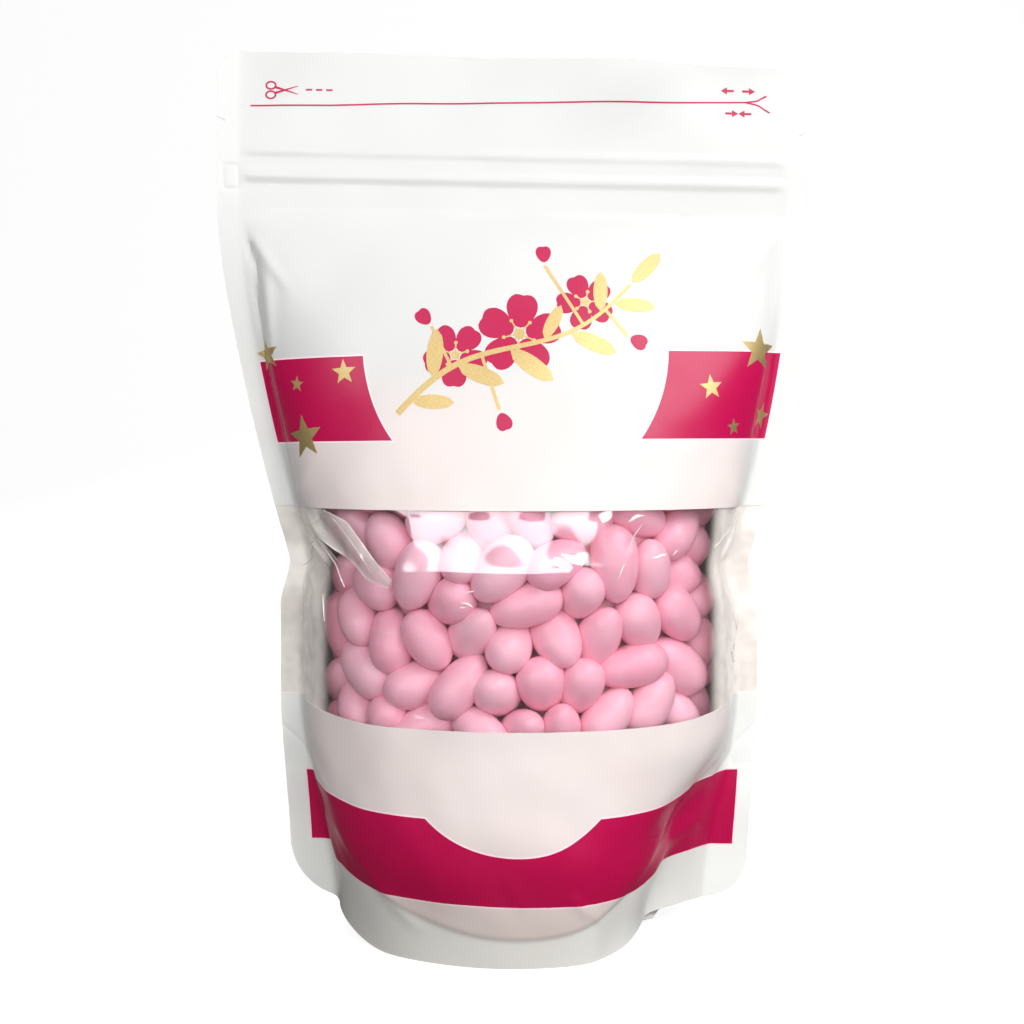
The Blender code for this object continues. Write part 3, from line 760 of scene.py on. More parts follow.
def packed_almonds():
    """Centre, long axis, sizes, outward way and cover of each almond in the front of the pouch.

    Each almond is three balls on a line. Balls that overlap push each other apart, the pouch's wall keeps
    them in, and a slow drift presses them against it. The cover is the depth of its centre under the film.
    """
    rng = np.random.default_rng(HEAP_SEED)
    levels = np.linspace(HEAP_FOOT - ALMOND_LENGTH, HEAP_TOP + ALMOND_LENGTH, HEAP_LEVELS)
    halves = np.array([section(v)[1][-1] for v in levels]) - HEAP_SIDE_ROOM
    depths = np.array([section(v)[2][0] for v in levels])
    step_x, step_y, step_z = (ALMOND_PITCH * share for share in PITCH_SHARES)
    grid = np.array([
        (x, y, z)
        for k, z in enumerate(np.arange(HEAP_FOOT, HEAP_TOP, step_z))
        for j, y in enumerate(np.arange(HEAP_BACK - ALMOND_WIDTH / 2, -HEAP_REACH_Y, -step_y))
        for x in np.arange(-HEAP_REACH_X, HEAP_REACH_X, step_x) + step_x / 2 * ((j + k) % 2)
    ])
    half = np.interp(grid[:, 2], levels, halves)
    depth = np.interp(grid[:, 2], levels, depths)
    centres = grid[(grid[:, 0] / half) ** 2 + (grid[:, 1] / depth) ** 2 < HEAP_FILL]
    count = len(centres)
    centres = centres + rng.normal(0, SCATTER, (count, 3))
    axes = rng.normal(0, 1, (count, 3)) * AXIS_SPREAD
    axes /= np.linalg.norm(axes, axis=1)[:, None]
    sizes = 1 + rng.uniform(-1, 1, (count, 3)) * SIZE_SPREAD
    arm = ARM_SHARE * ALMOND_LENGTH * sizes[:, 0]
    middle_ball = BALL_SHARE * ALMOND_WIDTH * sizes[:, 1]
    reach = np.stack([middle_ball * END_SHARE, middle_ball, middle_ball * END_SHARE], 1).ravel()
    along = np.array([-1.0, 0.0, 1.0])
    owner = np.repeat(np.arange(count), 3)
    touching = reach[:, None] + reach[None, :]
    strangers = owner[:, None] != owner[None, :]

    def wall(points):
        """The way out from each point to the pouch's wall, and how far that is."""
        wall_x = np.interp(points[:, 2], levels, halves)
        wall_y = np.interp(points[:, 2], levels, depths)
        outward = np.stack([points[:, 0] / wall_x**2, points[:, 1] / wall_y**2, np.zeros(len(points))], 1)
        steepness = np.linalg.norm(outward, axis=1) + 1e-9
        share = np.hypot(points[:, 0] / wall_x, points[:, 1] / wall_y)
        return outward / steepness[:, None], (1 - share) * share / steepness

    for step in range(SETTLING_STEPS):
        balls = (centres[:, None] + axes[:, None] * (arm[:, None] * along)[:, :, None]).reshape(-1, 3)
        apart = balls[:, None] - balls[None, :]
        gap = np.sqrt((apart**2).sum(-1)) + 1e-9
        lap = np.where(strangers & (gap < touching), touching - gap, 0.0)
        push = (apart * (0.5 * lap / gap)[:, :, None]).sum(1)
        outward, room = wall(balls)
        room -= WALL_GAP
        push -= outward * np.maximum(0, reach - room)[:, None]
        drift = SETTLING_DRIFT * (1 - step / SETTLING_STEPS)
        push += outward * np.where(room > reach, drift, 0.0)[:, None]
        push[:, 1] -= np.maximum(0, balls[:, 1] + reach - HEAP_BACK)
        push[:, 2] += np.maximum(0, HEAP_FOOT - HEAP_SLACK - balls[:, 2] + reach)
        push[:, 2] -= np.maximum(0, balls[:, 2] + reach - HEAP_TOP - HEAP_SLACK)
        push = push.reshape(count, 3, 3)
        centres = centres + MOVE_SHARE * push.sum(1)
        axes = axes + TURN_SHARE * (push * along[None, :, None]).sum(1) / arm[:, None]
        axes /= np.linalg.norm(axes, axis=1)[:, None]
    outward, cover = wall(centres)
    lean = (axes * outward).sum(1)
    end_on = ALMOND_LENGTH * sizes[:, 0] * lean
    flat_on = ALMOND_THICKNESS * sizes[:, 2] * np.sqrt(1 - lean**2)
    support = np.hypot(end_on, flat_on) / 2
    inward = np.maximum(0, support + WALL_GAP - cover)
    return centres - outward * inward[:, None], axes, sizes, outward, cover + inward


def almond_matrix(centre, axis, size, outward):
    """Places a unit almond: x along it, z through its thinner way, which faces the film."""
    x = Vector(axis).normalized()
    z = Vector(outward) - Vector(outward).dot(x) * x
    z = z.normalized() if z.length > 0.05 else x.orthogonal().normalized()
    turn = Matrix((x, z.cross(x), z)).transposed().to_4x4()
    half = Vector((ALMOND_LENGTH * size[0], ALMOND_WIDTH * size[1], ALMOND_THICKNESS * size[2])) / 2
    return Matrix.Translation(Vector(centre)) @ turn @ Matrix.Diagonal((*half, 1.0))


def almond_shape():
    """One almond, 2 long: a ball with its poles on x, fuller at one end and a little square-shouldered."""
    clear_selection()
    bpy.ops.mesh.primitive_uv_sphere_add(segments=22, ring_count=14, radius=1.0)
    obj = bpy.context.object
    places = places_of(obj)
    long_way, wide, thick = places[:, 2], places[:, 0], -places[:, 1]
    shoulder = ALMOND_SHOULDER * (1 - long_way**2) * long_way**2
    full = (1 - ALMOND_TAPER * long_way) * (1 + shoulder)
    set_places(obj, np.stack([long_way, wide * full, -thick * full], -1))
    edit_all(obj, bpy.ops.mesh.normals_make_consistent, inside=False)
    return obj


def join_all(pieces):
    choose(pieces[0])
    for piece in pieces:
        piece.select_set(True)
    bpy.ops.object.join()
    return bpy.context.object


packed = packed_almonds()
first = almond_shape()
tones = np.random.default_rng(TONE_SEED).uniform(0, 1, len(packed[0]))
heap = []
for tone, (centre, axis, size, outward, cover) in zip(tones, zip(*packed)):
    if cover > HEAP_DEPTH or not WINDOW_FOOT - HEAP_MARGIN < centre[2] < WINDOW_TOP + HEAP_MARGIN:
        continue
    almond = bpy.data.objects.new("almond", first.data.copy())
    bpy.context.scene.collection.objects.link(almond)
    centre = centre - outward * FILM_ROOM
    if centre[0] > 0:
        centre[0] *= pinched(PINCH_START, centre[2] - ALMOND_WIDTH / 2)
    almond.data.transform(almond_matrix(centre, axis, size, outward))
    note(almond, "tone", np.full(len(almond.data.vertices), tone))
    heap.append(almond)
bpy.data.objects.remove(first)
almonds = join_all(heap)
almonds.name = almonds.data.name = "sugared_almonds"
shade(almonds, 80)

# The inside of the heap, behind the almonds that show: one rosy mass that closes the gaps between them. It
# is a wavy sheet that stands about two almonds deep behind the film.
MASS_INSET = 0.027
MASS_WAVE = 0.0022
MASS_THICKNESS = 0.004
MASS_HALF = 0.062
MASS_FOOT = 0.056
MASS_TOP = 0.150
mass, across, v = sheet_of("heap_middle", 60, np.linspace(MASS_FOOT, MASS_TOP, 44))
s = across * MASS_HALF
wave = MASS_WAVE * np.sin(s * 430) * np.sin(v * 440)
set_places(mass, on_panel(s, v, wave - MASS_INSET))
note(mass, "tone", np.zeros_like(s))
apply_modifier(mass, "thickness", "SOLIDIFY", thickness=MASS_THICKNESS, offset=-1.0)
shade(mass, 60)

SUGAR_PALE = (0.995, 0.560, 0.680)
SUGAR_DEEP = (0.985, 0.440, 0.580)
SUGAR_LIGHT = (0.985, 0.66, 0.75)
SUGAR_PIT = (0.82, 0.33, 0.44)
sugar = Maker("pink_sugar")
tone = sugar.read("tone").outputs["Fac"]
mottle = sugar.noise(300, 3.0)
sugar_colour = sugar.blend(tone, SUGAR_DEEP, SUGAR_PALE)
sugar_colour = sugar.blend(sugar.ramp(mottle, 0.50, 1.10), sugar_colour, SUGAR_LIGHT)
pits = sugar.noise(1500, 2.0)
sugar_colour = sugar.blend(sugar.ramp(pits, 0.74, 0.86), sugar_colour, SUGAR_PIT)
waves = sugar.maths("MULTIPLY", sugar.noise(170, 1.0), 3.0)
lumps = sugar.maths("ADD", waves, sugar.maths("MULTIPLY", pits, 0.25))
sugar.bump(lumps, 0.00030, 0.30)
sugar.shader.inputs["Subsurface Weight"].default_value = 0.12
sugar.shader.inputs["Subsurface Radius"].default_value = (0.0030, 0.0012, 0.0015)
sugar.shader.inputs["Subsurface Scale"].default_value = 1.0
pink_sugar = sugar.finish(
    Base_Color=sugar_colour,
    Roughness=sugar.ramp(mottle, -1.2, 3.4),
    Specular_IOR_Level=0.60,
)
for piece in (almonds, mass):
    coat(piece, pink_sugar)
    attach(piece, "root")
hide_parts("almonds")

# The window is the pouch's clear lining alone, a thin crumpled film that clings to the almonds and dips
# between them. It turns milky where it runs out over the side seals, and at its upper left it is
# gathered in one wide pleat. A crease is its line, its half width and its haze. Of the first eight, all
# but the third are not folds but painted glints: short milky strokes that stand in for small reflections.
FILM_INSET = 0.00028
FILM_THICKNESS = 0.00008
FILM_HOLLOW = 0.00070
FILM_LAP = 0.0026
FILM_CLING = 0.0066
FILM_LEVEL = 0.75
FILM_SIDE_FADE = 0.004
FILM_EDGE_FADE = (0.004, 0.003)
HELD_COVER = 0.013
HELD_MARGIN = 0.015
FILM_GLOSS = 0.085
FILM_BLUR = 0.085
FILM_MILK = (0.95, 0.895, 0.845)
FILM_COLUMNS = 260
FILM_ROWS = 96
FILM_FOLDS = (
    ((-0.080, 0.134), (-0.041, 0.104), 0.0013, 0.0012),
    ((-0.072, 0.134), (-0.047, 0.108), 0.0010, -0.0008),
    ((-0.083, 0.126), (-0.056, 0.109), 0.0010, 0.0009),
    ((-0.088, 0.118), (-0.070, 0.103), 0.0012, 0.0008),
    ((-0.086, 0.100), (-0.079, 0.076), 0.0012, 0.0007),
    ((-0.079, 0.108), (-0.075, 0.092), 0.0006, 0.0006),
    ((0.086, 0.128), (0.070, 0.112), 0.0012, 0.0008),
    ((0.085, 0.098), (0.077, 0.086), 0.0010, 0.0009),
    ((0.052, 0.123), (0.044, 0.112), 0.0005, 0.0005),
    ((0.048, 0.119), (0.038, 0.117), 0.0005, 0.0004),
    ((-0.022, 0.106), (-0.014, 0.103), 0.0005, 0.0005),
    ((-0.021, 0.103), (-0.013, 0.1045), 0.0004, 0.0004),
    ((0.010, 0.120), (0.018, 0.116), 0.0006, 0.0004),
)
SIDE_HAZE = 0.86
SIDE_HAZE_START = 0.0620
SIDE_HAZE_REACH = 0.0080
PLEAT_LOWER = (
    (-0.0715, 0.1262), (-0.0603, 0.1198), (-0.0528, 0.1160), (-0.0479, 0.1116), (-0.0400, 0.1096),
)
PLEAT_UPPER = (
    (-0.0640, 0.1318), (-0.0547, 0.1286), (-0.0495, 0.1232), (-0.0452, 0.1178), (-0.0385, 0.1118),
)
CREASES_AND_PAINTED_GLINTS = (
    # Painted glints: milky strokes standing in for small reflections on the film.
    (((-0.0131, 0.1094), (-0.0147, 0.1091), (-0.0160, 0.1085)), 0.00026, 0.90),
    (((-0.0174, 0.1059), (-0.0152, 0.1056), (-0.0137, 0.1047)), 0.00032, 0.90),
    # A real crease.
    (((-0.0663, 0.1059), (-0.0650, 0.1020), (-0.0642, 0.0981)), 0.00022, 0.55),
    # More painted glints.
    (((0.0326, 0.1287), (0.0350, 0.1304), (0.0376, 0.1306)), 0.00055, 0.90),
    (((0.0290, 0.1125), (0.0303, 0.1150), (0.0314, 0.1174)), 0.00028, 0.85),
    (((0.0092, 0.1163), (0.0102, 0.1168), (0.0113, 0.1163)), 0.00045, 0.80),
    (((0.0323, 0.1204), (0.0345, 0.1250), (0.0370, 0.1280)), 0.00035, 0.35),
    (((0.0775, 0.0869), (0.0800, 0.0850), (0.0816, 0.0827)), 0.00075, 0.90),
    # Real creases of the film, milky where folded.
    (((0.0877, 0.1306), (0.0740, 0.1240), (0.0658, 0.1200)), 0.00050, 0.45),
    (((0.0858, 0.1010), (0.0820, 0.0940), (0.0835, 0.0860)), 0.00050, 0.45),
    (((-0.0894, 0.1300), (-0.0790, 0.1262), (-0.0720, 0.1230)), 0.00055, 0.50),
    (((-0.0726, 0.1218), (-0.0820, 0.1170), (-0.0911, 0.1128)), 0.00045, 0.50),
    (((-0.0890, 0.1082), (-0.0835, 0.1000), (-0.0845, 0.0900)), 0.00050, 0.50),
    (((-0.0600, 0.1290), (-0.0520, 0.1216), (-0.0462, 0.1136)), 0.00030, 0.75),
    (((-0.0690, 0.1226), (-0.0610, 0.1150), (-0.0560, 0.1090)), 0.00030, 0.55),
)
PLEAT_LIFT = 0.00012
PLEAT_SWELL = 0.0005
PLEAT_HAZE = 0.27
PLEAT_PATCHES = 0.10
PLEAT_RIM_HAZE = 0.42
PLEAT_RIM = 0.86
PLEAT_STEPS = (60, 16)
PLEAT_RIPPLES = (0.00012, 0.00010)
CREASE_TAPER = 0.12
CREASE_STEPS = 14
CREASE_SWELL = 0.0003


def flat_spots(centres):
    """The flat places in front of points in space, found from the sections they lie in."""
    spots = []
    for x, y, z in centres:
        v = z + SEAM_FOOT * smooth((SAG_TOP - z) / (SAG_TOP - SEAM_FOOT))
        run, xs, depths, _, _ = section(round(float(np.clip(v, SEAM_FOOT, SEAM_TOP)), 3))
        way = np.arctan2(-y, abs(x))
        spots.append((math.copysign(np.interp(-way, -np.arctan2(depths, xs), run), x), v))
    return np.array(spots)


def film_relief(s, v):
    """How far the film stands off its even depth: almonds hold it up and folds raise it."""
    centres, axes, sizes, outward, cover = packed
    z = centres[:, 2]
    front = (cover < HELD_COVER) & (z > WINDOW_FOOT - HELD_MARGIN) & (z < WINDOW_TOP + HELD_MARGIN)
    held = np.zeros_like(s)
    for spot_s, spot_v in flat_spots(centres[front]):
        held += np.exp(-(((s - spot_s) ** 2 + (v - spot_v) ** 2) / FILM_CLING**2))
    rise = FILM_HOLLOW * (np.minimum(held, 1.0) - FILM_LEVEL)
    for line in FILM_FOLDS:
        rise += fold(s, v, *line)
    return rise * smooth((FLAT_HALF - SIDE_SEAL - np.abs(s)) / FILM_SIDE_FADE)


film_levels = np.linspace(WINDOW_FOOT - FILM_LAP, WINDOW_TOP + FILM_LAP, FILM_ROWS)
film, across, v = sheet_of("window_film_sheet", FILM_COLUMNS, film_levels)
s = across * (FLAT_HALF - 0.0002)


def on_film(s, v, lift=0.0):
    """Places on the film, which lies flat where it runs in under the paper above and below the window."""
    above_foot = smooth((v - WINDOW_FOOT) / FILM_EDGE_FADE[0])
    below_top = smooth((WINDOW_TOP - v) / FILM_EDGE_FADE[1])
    return on_panel(s, v, film_relief(s, v) * np.minimum(above_foot, below_top) - FILM_INSET + lift)


set_places(film, on_film(s, v))
note(film, "haze", SIDE_HAZE * smooth((np.abs(s) - SIDE_HAZE_START) / SIDE_HAZE_REACH))
apply_modifier(film, "thickness", "SOLIDIFY", thickness=FILM_THICKNESS, offset=-1.0)
shade(film, 60)


def smooth_path(points, count):
    """A line of even steps through points, with its corners eased."""
    points = np.array(points)
    run = np.concatenate([[0], np.cumsum(np.linalg.norm(np.diff(points, axis=0), axis=1))])
    even = np.linspace(0, run[-1], count)
    path = np.stack([np.interp(even, run, points[:, 0]), np.interp(even, run, points[:, 1])], -1)
    for _ in range(count // 8):
        path[1:-1] = (path[:-2] + 2 * path[1:-1] + path[2:]) / 4
    return path


def strip_between(lower, upper, count, rows):
    """A flat strip from a lower line to an upper one, with each corner's place, run and share across."""
    obj, places = flat_grid(count - 1, rows)
    run, share = (places[:, 0] + 1) / 2, (places[:, 1] + 1) / 2
    column = np.rint(run * (count - 1)).astype(int)
    lower, upper = smooth_path(lower, count)[column], smooth_path(upper, count)[column]
    flat = lower + (upper - lower) * share[:, None]
    return obj, flat[:, 0], flat[:, 1], run, share


pleat, s, v, run, share = strip_between(PLEAT_LOWER, PLEAT_UPPER, *PLEAT_STEPS)
swell = np.sin(share * math.pi) * np.sin(np.clip(run * 1.1, 0, 1) * math.pi) ** 0.5
ripple = PLEAT_RIPPLES[0] * np.sin(share * 9 + run * 7) + PLEAT_RIPPLES[1] * np.sin(run * 40 + share * 5)
set_places(pleat, on_film(s, v, PLEAT_LIFT + PLEAT_SWELL * swell + ripple * swell))
rim = np.abs(share - 0.5) * 2
cloudiness = PLEAT_HAZE + PLEAT_PATCHES * np.sin(share * 7 + run * 3)
cloudiness += PLEAT_RIM_HAZE * smooth((rim - PLEAT_RIM) / (1 - PLEAT_RIM))
note(pleat, "haze", cloudiness)
folded = [pleat]
# Each crease, or painted glint, is a thin milky ribbon laid on the film.
for points, half, milk_or_painted_glint in CREASES_AND_PAINTED_GLINTS:
    line = smooth_path(points, CREASE_STEPS)
    way = np.gradient(line, axis=0)
    way = np.stack([-way[:, 1], way[:, 0]], -1) / np.linalg.norm(way, axis=1)[:, None]
    taper = half * np.sin(np.linspace(CREASE_TAPER, math.pi - CREASE_TAPER, CREASE_STEPS))[:, None]
    crease, s, v, run, share = strip_between(line - way * taper, line + way * taper, CREASE_STEPS, 2)
    set_places(crease, on_film(s, v, PLEAT_LIFT + CREASE_SWELL * np.sin(share * math.pi)))
    note(crease, "haze", np.full(len(s), milk_or_painted_glint))
    folded.append(crease)
pleats_and_glints = join_all(folded)
pleats_and_glints.name = pleats_and_glints.data.name = "film_pleats_and_painted_glints"
apply_modifier(pleats_and_glints, "thickness", "SOLIDIFY", thickness=FILM_THICKNESS, offset=-1.0)
shade(pleats_and_glints, 60)

clear = Maker("clear_film")
through = clear.add("ShaderNodeBsdfTransparent", (0.985, 0.985, 0.985))
gloss = clear.add("ShaderNodeBsdfGlossy", (1.0, 1.0, 1.0), FILM_BLUR)
facing = clear.add("ShaderNodeLayerWeight", 0.5).outputs["Facing"]
grazing = clear.maths("MULTIPLY", clear.maths("POWER", facing, 5.0), 1 - FILM_GLOSS)
mirror = clear.maths("ADD", grazing, FILM_GLOSS)
bare = clear.add("ShaderNodeMixShader", mirror, through.outputs[0], gloss.outputs[0])
clear.finish(Base_Color=FILM_MILK, Roughness=0.32)
patchy = clear.ramp(clear.noise(150, 1.0), -0.6, 0.7)
cloudy = clear.maths("MULTIPLY", clear.read("haze").outputs["Fac"], patchy)
mixed = clear.add("ShaderNodeMixShader", cloudy, bare.outputs[0], clear.shader.outputs[0])
clear.tree.links.new(mixed.outputs[0], clear.output.inputs["Surface"])
for piece in (film, pleats_and_glints):
    coat(piece, clear.material)
    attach(piece, "root")
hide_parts("window_film")

# The stars are hot-stamped gold foil, five-pointed and scattered over both ends of the upper band. They lie
# on the ink and follow every fold of the paper, and a fine grain breaks their shine. A star is its middle,
# its size and its tilt.
FOIL_LIFT = 0.00007
FOIL_THICKNESS = 0.00012
STARS = (
    (-0.0833, 0.1802, 0.0054, 10),
    (-0.0715, 0.1706, 0.0026, -6),
    (-0.0546, 0.1740, 0.0041, 4),
    (-0.0697, 0.1540, 0.0072, 8),
    (0.0785, 0.1818, 0.0072, -4),
    (0.0605, 0.1695, 0.0041, 6),
    (0.0849, 0.1609, 0.0046, -10),
    (0.0697, 0.1572, 0.0028, 8),
)
STAR_WAIST = 0.42
DARK_GOLD = (0.60, 0.43, 0.17)
LIGHT_GOLD = (0.78, 0.62, 0.33)


def lay_on_front(obj, name, lift=FOIL_LIFT):
    """Lays a flat mesh, drawn with x as s and y as v, on the front paper and gives it its thickness."""
    obj.name = obj.data.name = name
    places = places_of(obj)
    s, v = places[:, 0], places[:, 1]
    set_places(obj, on_panel(s, v, paper_relief(s, v, FRONT_SEED) + lift))
    apply_modifier(obj, "thickness", "SOLIDIFY", thickness=FOIL_THICKNESS, offset=-1.0)
    shade(obj)


def petal_shape(corners, radius_at, middle_s, middle_v, turn, cuts):
    """A flat figure round a middle, its outline given by radius_at(angle), cut small enough to bend."""
    clear_selection()
    bpy.ops.mesh.primitive_circle_add(vertices=corners, radius=1.0, fill_type="TRIFAN")
    obj = bpy.context.object
    places = places_of(obj)
    angle = np.arctan2(places[:, 1], places[:, 0])
    share = np.hypot(places[:, 0], places[:, 1])
    radius = share * np.array([radius_at(a) for a in angle])
    angle = angle + turn
    set_places(obj, flat_places(middle_s + radius * np.cos(angle), middle_v + radius * np.sin(angle)))
    edit_all(obj, bpy.ops.mesh.subdivide, number_cuts=cuts)
    return obj


def star(middle_s, middle_v, size, tilt):
    def radius(angle):
        return size if round((angle - math.pi / 2) / (math.pi / 5)) % 2 == 0 else size * STAR_WAIST

    return petal_shape(10, radius, middle_s, middle_v, math.radians(tilt), 3)


stars = join_all([star(*given) for given in STARS])
lay_on_front(stars, "gold_stars")

foil = Maker("gold_foil")
grain = foil.noise(3300, 2.0, 0.7)
gold = foil.blend(foil.ramp(grain, 0.35, 0.70), DARK_GOLD, LIGHT_GOLD)
foil.bump(grain, 0.00006, 0.8)
gold_foil = foil.finish(Base_Color=gold, Metallic=1.0, Roughness=foil.ramp(grain, -1.1, 1.9))
coat(stars, gold_foil)
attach(stars, "root")

# The front's emblem is a flowering almond branch that leans across the clearing. Its stem, leaves and
# stamens are the same gold foil, and its petals and buds are magenta ink.
BRANCH_START = (-0.0370, 0.1610)
BRANCH_END = (0.0350, 0.2020)
BRANCH_BOW = 0.0075
BRANCH_HALF = 0.0009
LEAVES = (
    (0.06, -1, 0.0130), (0.17, 1, 0.0150), (0.27, -1, 0.0150), (0.47, -1, 0.0160),
    (0.60, 1, 0.0120), (0.70, -1, 0.0150), (0.84, 1, 0.0130), (0.90, -1, 0.0130), (1.0, 0, 0.0140),
)
LEAF_SPREAD = 48
LEAF_HALF = 0.17
BLOSSOMS = ((0.0000, 0.1855, 0.0135, 12), (0.0205, 0.1960, 0.0095, 40), (-0.0195, 0.1790, 0.0105, -20))
BUDS = ((-0.0270, 0.1880, 130), (0.0080, 0.2080, 95), (0.0335, 0.1850, -25), (-0.0060, 0.1620, -70))
BUD_SIZE = 0.0034
PETAL_MIDDLE = 0.57
PETAL_REACH = 0.42
PETAL_HALF = 0.35
STAMEN_REACH = 0.36
STAMEN_HALF = 0.00022
STAMEN_TIP = 0.0006
HEART_SIZE = 0.13
STEM_STEPS = 60
TWIG_STEPS = 14


def branch_point(t):
    bow = BRANCH_BOW * math.sin(2 * math.pi * t) * 0.5
    return (
        BRANCH_START[0] + (BRANCH_END[0] - BRANCH_START[0]) * t - bow * 0.5,
        BRANCH_START[1] + (BRANCH_END[1] - BRANCH_START[1]) * t + bow,
    )


def ribbon(points, halves):
    """A flat ribbon along flat places, with half its width at each."""
    obj, places = flat_grid(len(points) - 1, 2)
    column = np.rint((places[:, 0] + 1) / 2 * (len(points) - 1)).astype(int)
    line = np.array(points)
    way = np.gradient(line, axis=0)
    way /= np.linalg.norm(way, axis=1)[:, None]
    half = np.array(halves)[column] * places[:, 1]
    s, v = line[column, 0] - way[column, 1] * half, line[column, 1] + way[column, 0] * half
    set_places(obj, flat_places(s, v))
    return obj


def leaf(root_s, root_v, length, angle):
    """A pointed leaf that starts at its stalk."""
    def radius(turn):
        return length / 2 / math.sqrt(math.cos(turn) ** 2 + (math.sin(turn) / LEAF_HALF / 2) ** 2)

    middle = (root_s + math.cos(angle) * length * 0.56, root_v + math.sin(angle) * length * 0.56)
    return petal_shape(20, radius, *middle, angle, 3)


def petal(middle_s, middle_v, size, angle):
    """One broad petal of a blossom, with a shallow notch at its tip."""
    def radius(turn):
        broad = PETAL_HALF * (1 + 0.20 * math.cos(turn))
        oval = size / math.sqrt((math.cos(turn) / PETAL_REACH) ** 2 + (math.sin(turn) / broad) ** 2)
        return oval * (1 - 0.16 * math.exp(-((turn / 0.30) ** 2)))

    return petal_shape(28, radius, middle_s + math.cos(angle) * size * PETAL_MIDDLE,
                       middle_v + math.sin(angle) * size * PETAL_MIDDLE, angle, 2)


def straight(start, end, count):
    """Even steps from one flat place to another."""
    return [np.array(start) * (1 - t) + np.array(end) * t for t in np.linspace(0, 1, count)]


gold_parts, ink_parts = [], []
stem = [branch_point(t) for t in np.linspace(0, 1, STEM_STEPS)]
gold_parts.append(ribbon(stem, [BRANCH_HALF * (1.15 - 0.6 * t) for t in np.linspace(0, 1, STEM_STEPS)]))
for t, side, length in LEAVES:
    here, there = branch_point(t), branch_point(t + 0.01)
    heading = math.atan2(there[1] - here[1], there[0] - here[0])
    gold_parts.append(leaf(*here, length, heading + side * math.radians(LEAF_SPREAD)))
for middle_s, middle_v, angle in BUDS:
    turn = math.radians(angle)
    nearest = min(stem, key=lambda p: math.hypot(p[0] - middle_s, p[1] - middle_v))
    twig = straight(nearest, (middle_s, middle_v), TWIG_STEPS)
    gold_parts.append(ribbon(twig, [BRANCH_HALF * 0.55] * TWIG_STEPS))
    ink_parts.append(petal(middle_s, middle_v, BUD_SIZE * 2, turn))
for middle_s, middle_v, size, tilt in BLOSSOMS:
    for k in range(5):
        ink_parts.append(petal(middle_s, middle_v, size, math.radians(tilt + 72 * k)))
        way = math.radians(tilt + 36 + 72 * k)
        reach = size * STAMEN_REACH
        tip = (middle_s + math.cos(way) * reach, middle_v + math.sin(way) * reach)
        gold_parts.append(ribbon(straight((middle_s, middle_v), tip, 5), [STAMEN_HALF] * 5))
        gold_parts.append(petal_shape(10, lambda turn: STAMEN_TIP, *tip, 0.0, 1))
    heart = size * HEART_SIZE
    gold_parts.append(petal_shape(16, lambda turn, heart=heart: heart, middle_s, middle_v, 0.0, 1))
branch = join_all(gold_parts)
lay_on_front(branch, "gold_branch", FOIL_LIFT * 1.3)
coat(branch, gold_foil)
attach(branch, "root")

# The rest of the print is plain magenta ink: the blossoms' petals, the cut line that forks at its right end
# and its small signs, scissors with dashes at the left, arrows apart and arrows together at the right.
INK_LIFT = 0.00005
CUT_LINE = (
    (-0.0841, 0.2587), (-0.060, 0.2592), (-0.035, 0.2606), (-0.010, 0.2614),
    (0.018, 0.2622), (0.045, 0.2630), (0.062, 0.2640), (0.0746, 0.2645),
)
CUT_FORKS = (
    ((0.0746, 0.2645), (0.0785, 0.2650), (0.0816, 0.2668)),
    ((0.0746, 0.2645), (0.0790, 0.2636), (0.0824, 0.2612)),
)
CUT_HALF = 0.00028
SIGN_HALF = 0.00038
SCISSORS_LEVEL = 0.26385
SCISSORS_RING = -0.0785
RING_SIZE = (0.0015, 0.0012)
RING_OFFSET = 0.00155
BLADE_ENDS = ((-0.0772, 0.0010), (-0.0700, -0.0013))
DASH_START = -0.0675
DASH_PITCH = 0.0032
DASH_LENGTH = 0.0020
DASH_LEVELS = (0.2640, 0.26405)
ARROW_LEVELS = ((0.2682, 1), (0.2606, -1))
ARROW_MIDDLE = 0.0722
ARROW_TAIL = 0.0014
ARROW_TIP = 0.0044
ARROW_HEAD = 0.0014

ink_parts.append(ribbon(smooth_path(CUT_LINE, 150), [CUT_HALF] * 150))
for points in CUT_FORKS:
    ink_parts.append(ribbon(smooth_path(points, 16), [CUT_HALF] * 16))
for side in (-1, 1):
    ring_level = SCISSORS_LEVEL + side * RING_OFFSET
    ring = [
        (SCISSORS_RING + RING_SIZE[0] * math.cos(t), ring_level + RING_SIZE[1] * math.sin(t))
        for t in np.linspace(0, 2 * math.pi, 25)
    ]
    ink_parts.append(ribbon(ring, [SIGN_HALF * 0.75] * 25))
    blade = smooth_path([(place, SCISSORS_LEVEL + side * off) for place, off in BLADE_ENDS], 12)
    ink_parts.append(ribbon(blade, [SIGN_HALF * (1.1 - 0.07 * k) for k in range(12)]))
for k in range(3):
    start = DASH_START + DASH_PITCH * k
    dash = smooth_path(((start, DASH_LEVELS[0]), (start + DASH_LENGTH, DASH_LEVELS[1])), 4)
    ink_parts.append(ribbon(dash, [SIGN_HALF * 0.8] * 4))
for sign_v, way in ARROW_LEVELS:
    for side in (-1, 1):
        tail, tip = ARROW_MIDDLE + side * ARROW_TAIL, ARROW_MIDDLE + side * ARROW_TIP
        if way < 0:
            tail, tip = tip, tail
        ink_parts.append(ribbon(smooth_path(((tail, sign_v), (tip, sign_v)), 6), [SIGN_HALF] * 6))
        heading = math.radians(-90 * side * way)
        ink_parts.append(petal_shape(3, lambda turn: ARROW_HEAD, tip, sign_v, heading, 2))
ink_print = join_all(ink_parts)
lay_on_front(ink_print, "magenta_print", INK_LIFT)
ink = Maker("magenta_ink")
speck = ink.noise(2600, 3.0, 0.6)
ink_colour = ink.blend(ink.ramp(speck, 0.45, 0.95), MAGENTA, PALE_MAGENTA)
ink.bump(speck, 0.00003, 0.3)
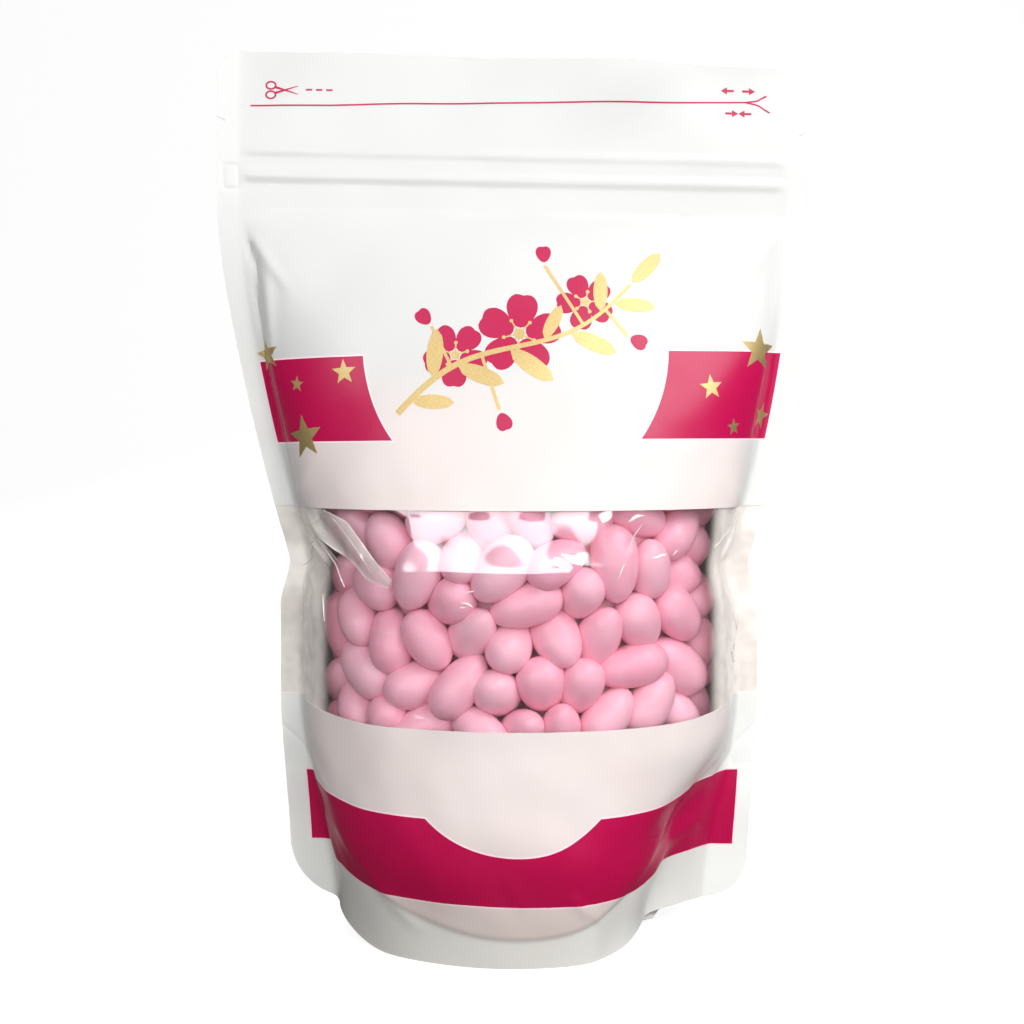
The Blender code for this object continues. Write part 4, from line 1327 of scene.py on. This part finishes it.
coat(ink_print, ink.finish(Base_Color=ink_colour, Roughness=ink.ramp(speck, -1.5, 3.0)))
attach(ink_print, "root")

# The room: a pale floor that sweeps up behind, a broad low soft box in front and a little to the left, and
# a stronger one high up at the right with a weak one below it. A last one lights the pouch's back.
FLOOR_HALF = 1.6
FLOOR_BACK = 1.1
FLOOR_BEND = 0.5
WALL_HEIGHT = 1.6
FLOOR_ROWS = 60
FLAT_SHARE = 0.5
BEND_SHARE = 0.2
WALL_SHARE = 0.3
FLOOR_GREY = (0.20, 0.20, 0.20)
FLOOR_PALE = (0.23, 0.23, 0.23)
FLOOR_GLOW = 0.88
DAYLIGHT = 0.12
floor, places = flat_grid(2, FLOOR_ROWS)
floor.name = "floor"
run = (places[:, 1] + 1) / 2
bend = np.clip((run - FLAT_SHARE) / BEND_SHARE, 0, 1) * math.pi / 2
flat_run = np.minimum(run, FLAT_SHARE) / FLAT_SHARE * (FLOOR_HALF + FLOOR_BACK - FLOOR_BEND)
places[:, 1] = flat_run - FLOOR_HALF + FLOOR_BEND * np.sin(bend)
up_wall = np.maximum(run - 1 + WALL_SHARE, 0) / WALL_SHARE
places[:, 2] = FLOOR_BEND * (1 - np.cos(bend)) + up_wall * WALL_HEIGHT
places[:, 0] *= FLOOR_HALF
set_places(floor, places)
shade(floor, 60)
room = Maker("pale_floor")
dust = room.ramp(room.noise(9, 3.0), -2.0, 1.6)
floor_surface = room.finish(
    Base_Color=room.blend(dust, FLOOR_GREY, FLOOR_PALE),
    Roughness=0.9,
    Emission_Color=(1.0, 1.0, 1.0),
    Emission_Strength=FLOOR_GLOW,
)
coat(floor, floor_surface)
floor.visible_diffuse = False
floor.visible_glossy = False

world = bpy.data.worlds.new("soft_daylight")
world.use_nodes = True
sky = world.node_tree.nodes["Background"]
sky.inputs["Color"].default_value = (1.0, 1.0, 1.0, 1.0)
sky.inputs["Strength"].default_value = DAYLIGHT
bpy.context.scene.world = world


def soft_box(name, place, aim, width, height, power):
    data = bpy.data.lights.new(name, "AREA")
    data.shape = "RECTANGLE"
    data.size, data.size_y, data.energy = width, height, power
    obj = bpy.data.objects.new(name, data)
    bpy.context.scene.collection.objects.link(obj)
    obj.location = place
    obj.rotation_euler = (Vector(aim) - Vector(place)).to_track_quat("-Z", "Y").to_euler()
    return obj


soft_box("front_box", (-0.120, -0.70, 0.340), (0.0, 0.0, 0.12), 0.95, 0.46, 4.65)
soft_box("right_box", (0.70, -0.62, 1.00), (0.0, 0.0, 0.13), 0.7, 0.7, 11.3)
low_box = soft_box("low_box", (0.62, -0.62, 0.20), (0.03, 0.0, 0.03), 0.5, 0.34, 2.5)
low_box.visible_glossy = False
back_box = soft_box("back_box", (-0.35, 0.55, 0.62), (0.0, 0.0, 0.13), 0.6, 0.6, 6.5)
back_box.visible_camera = False
back_box.visible_glossy = False
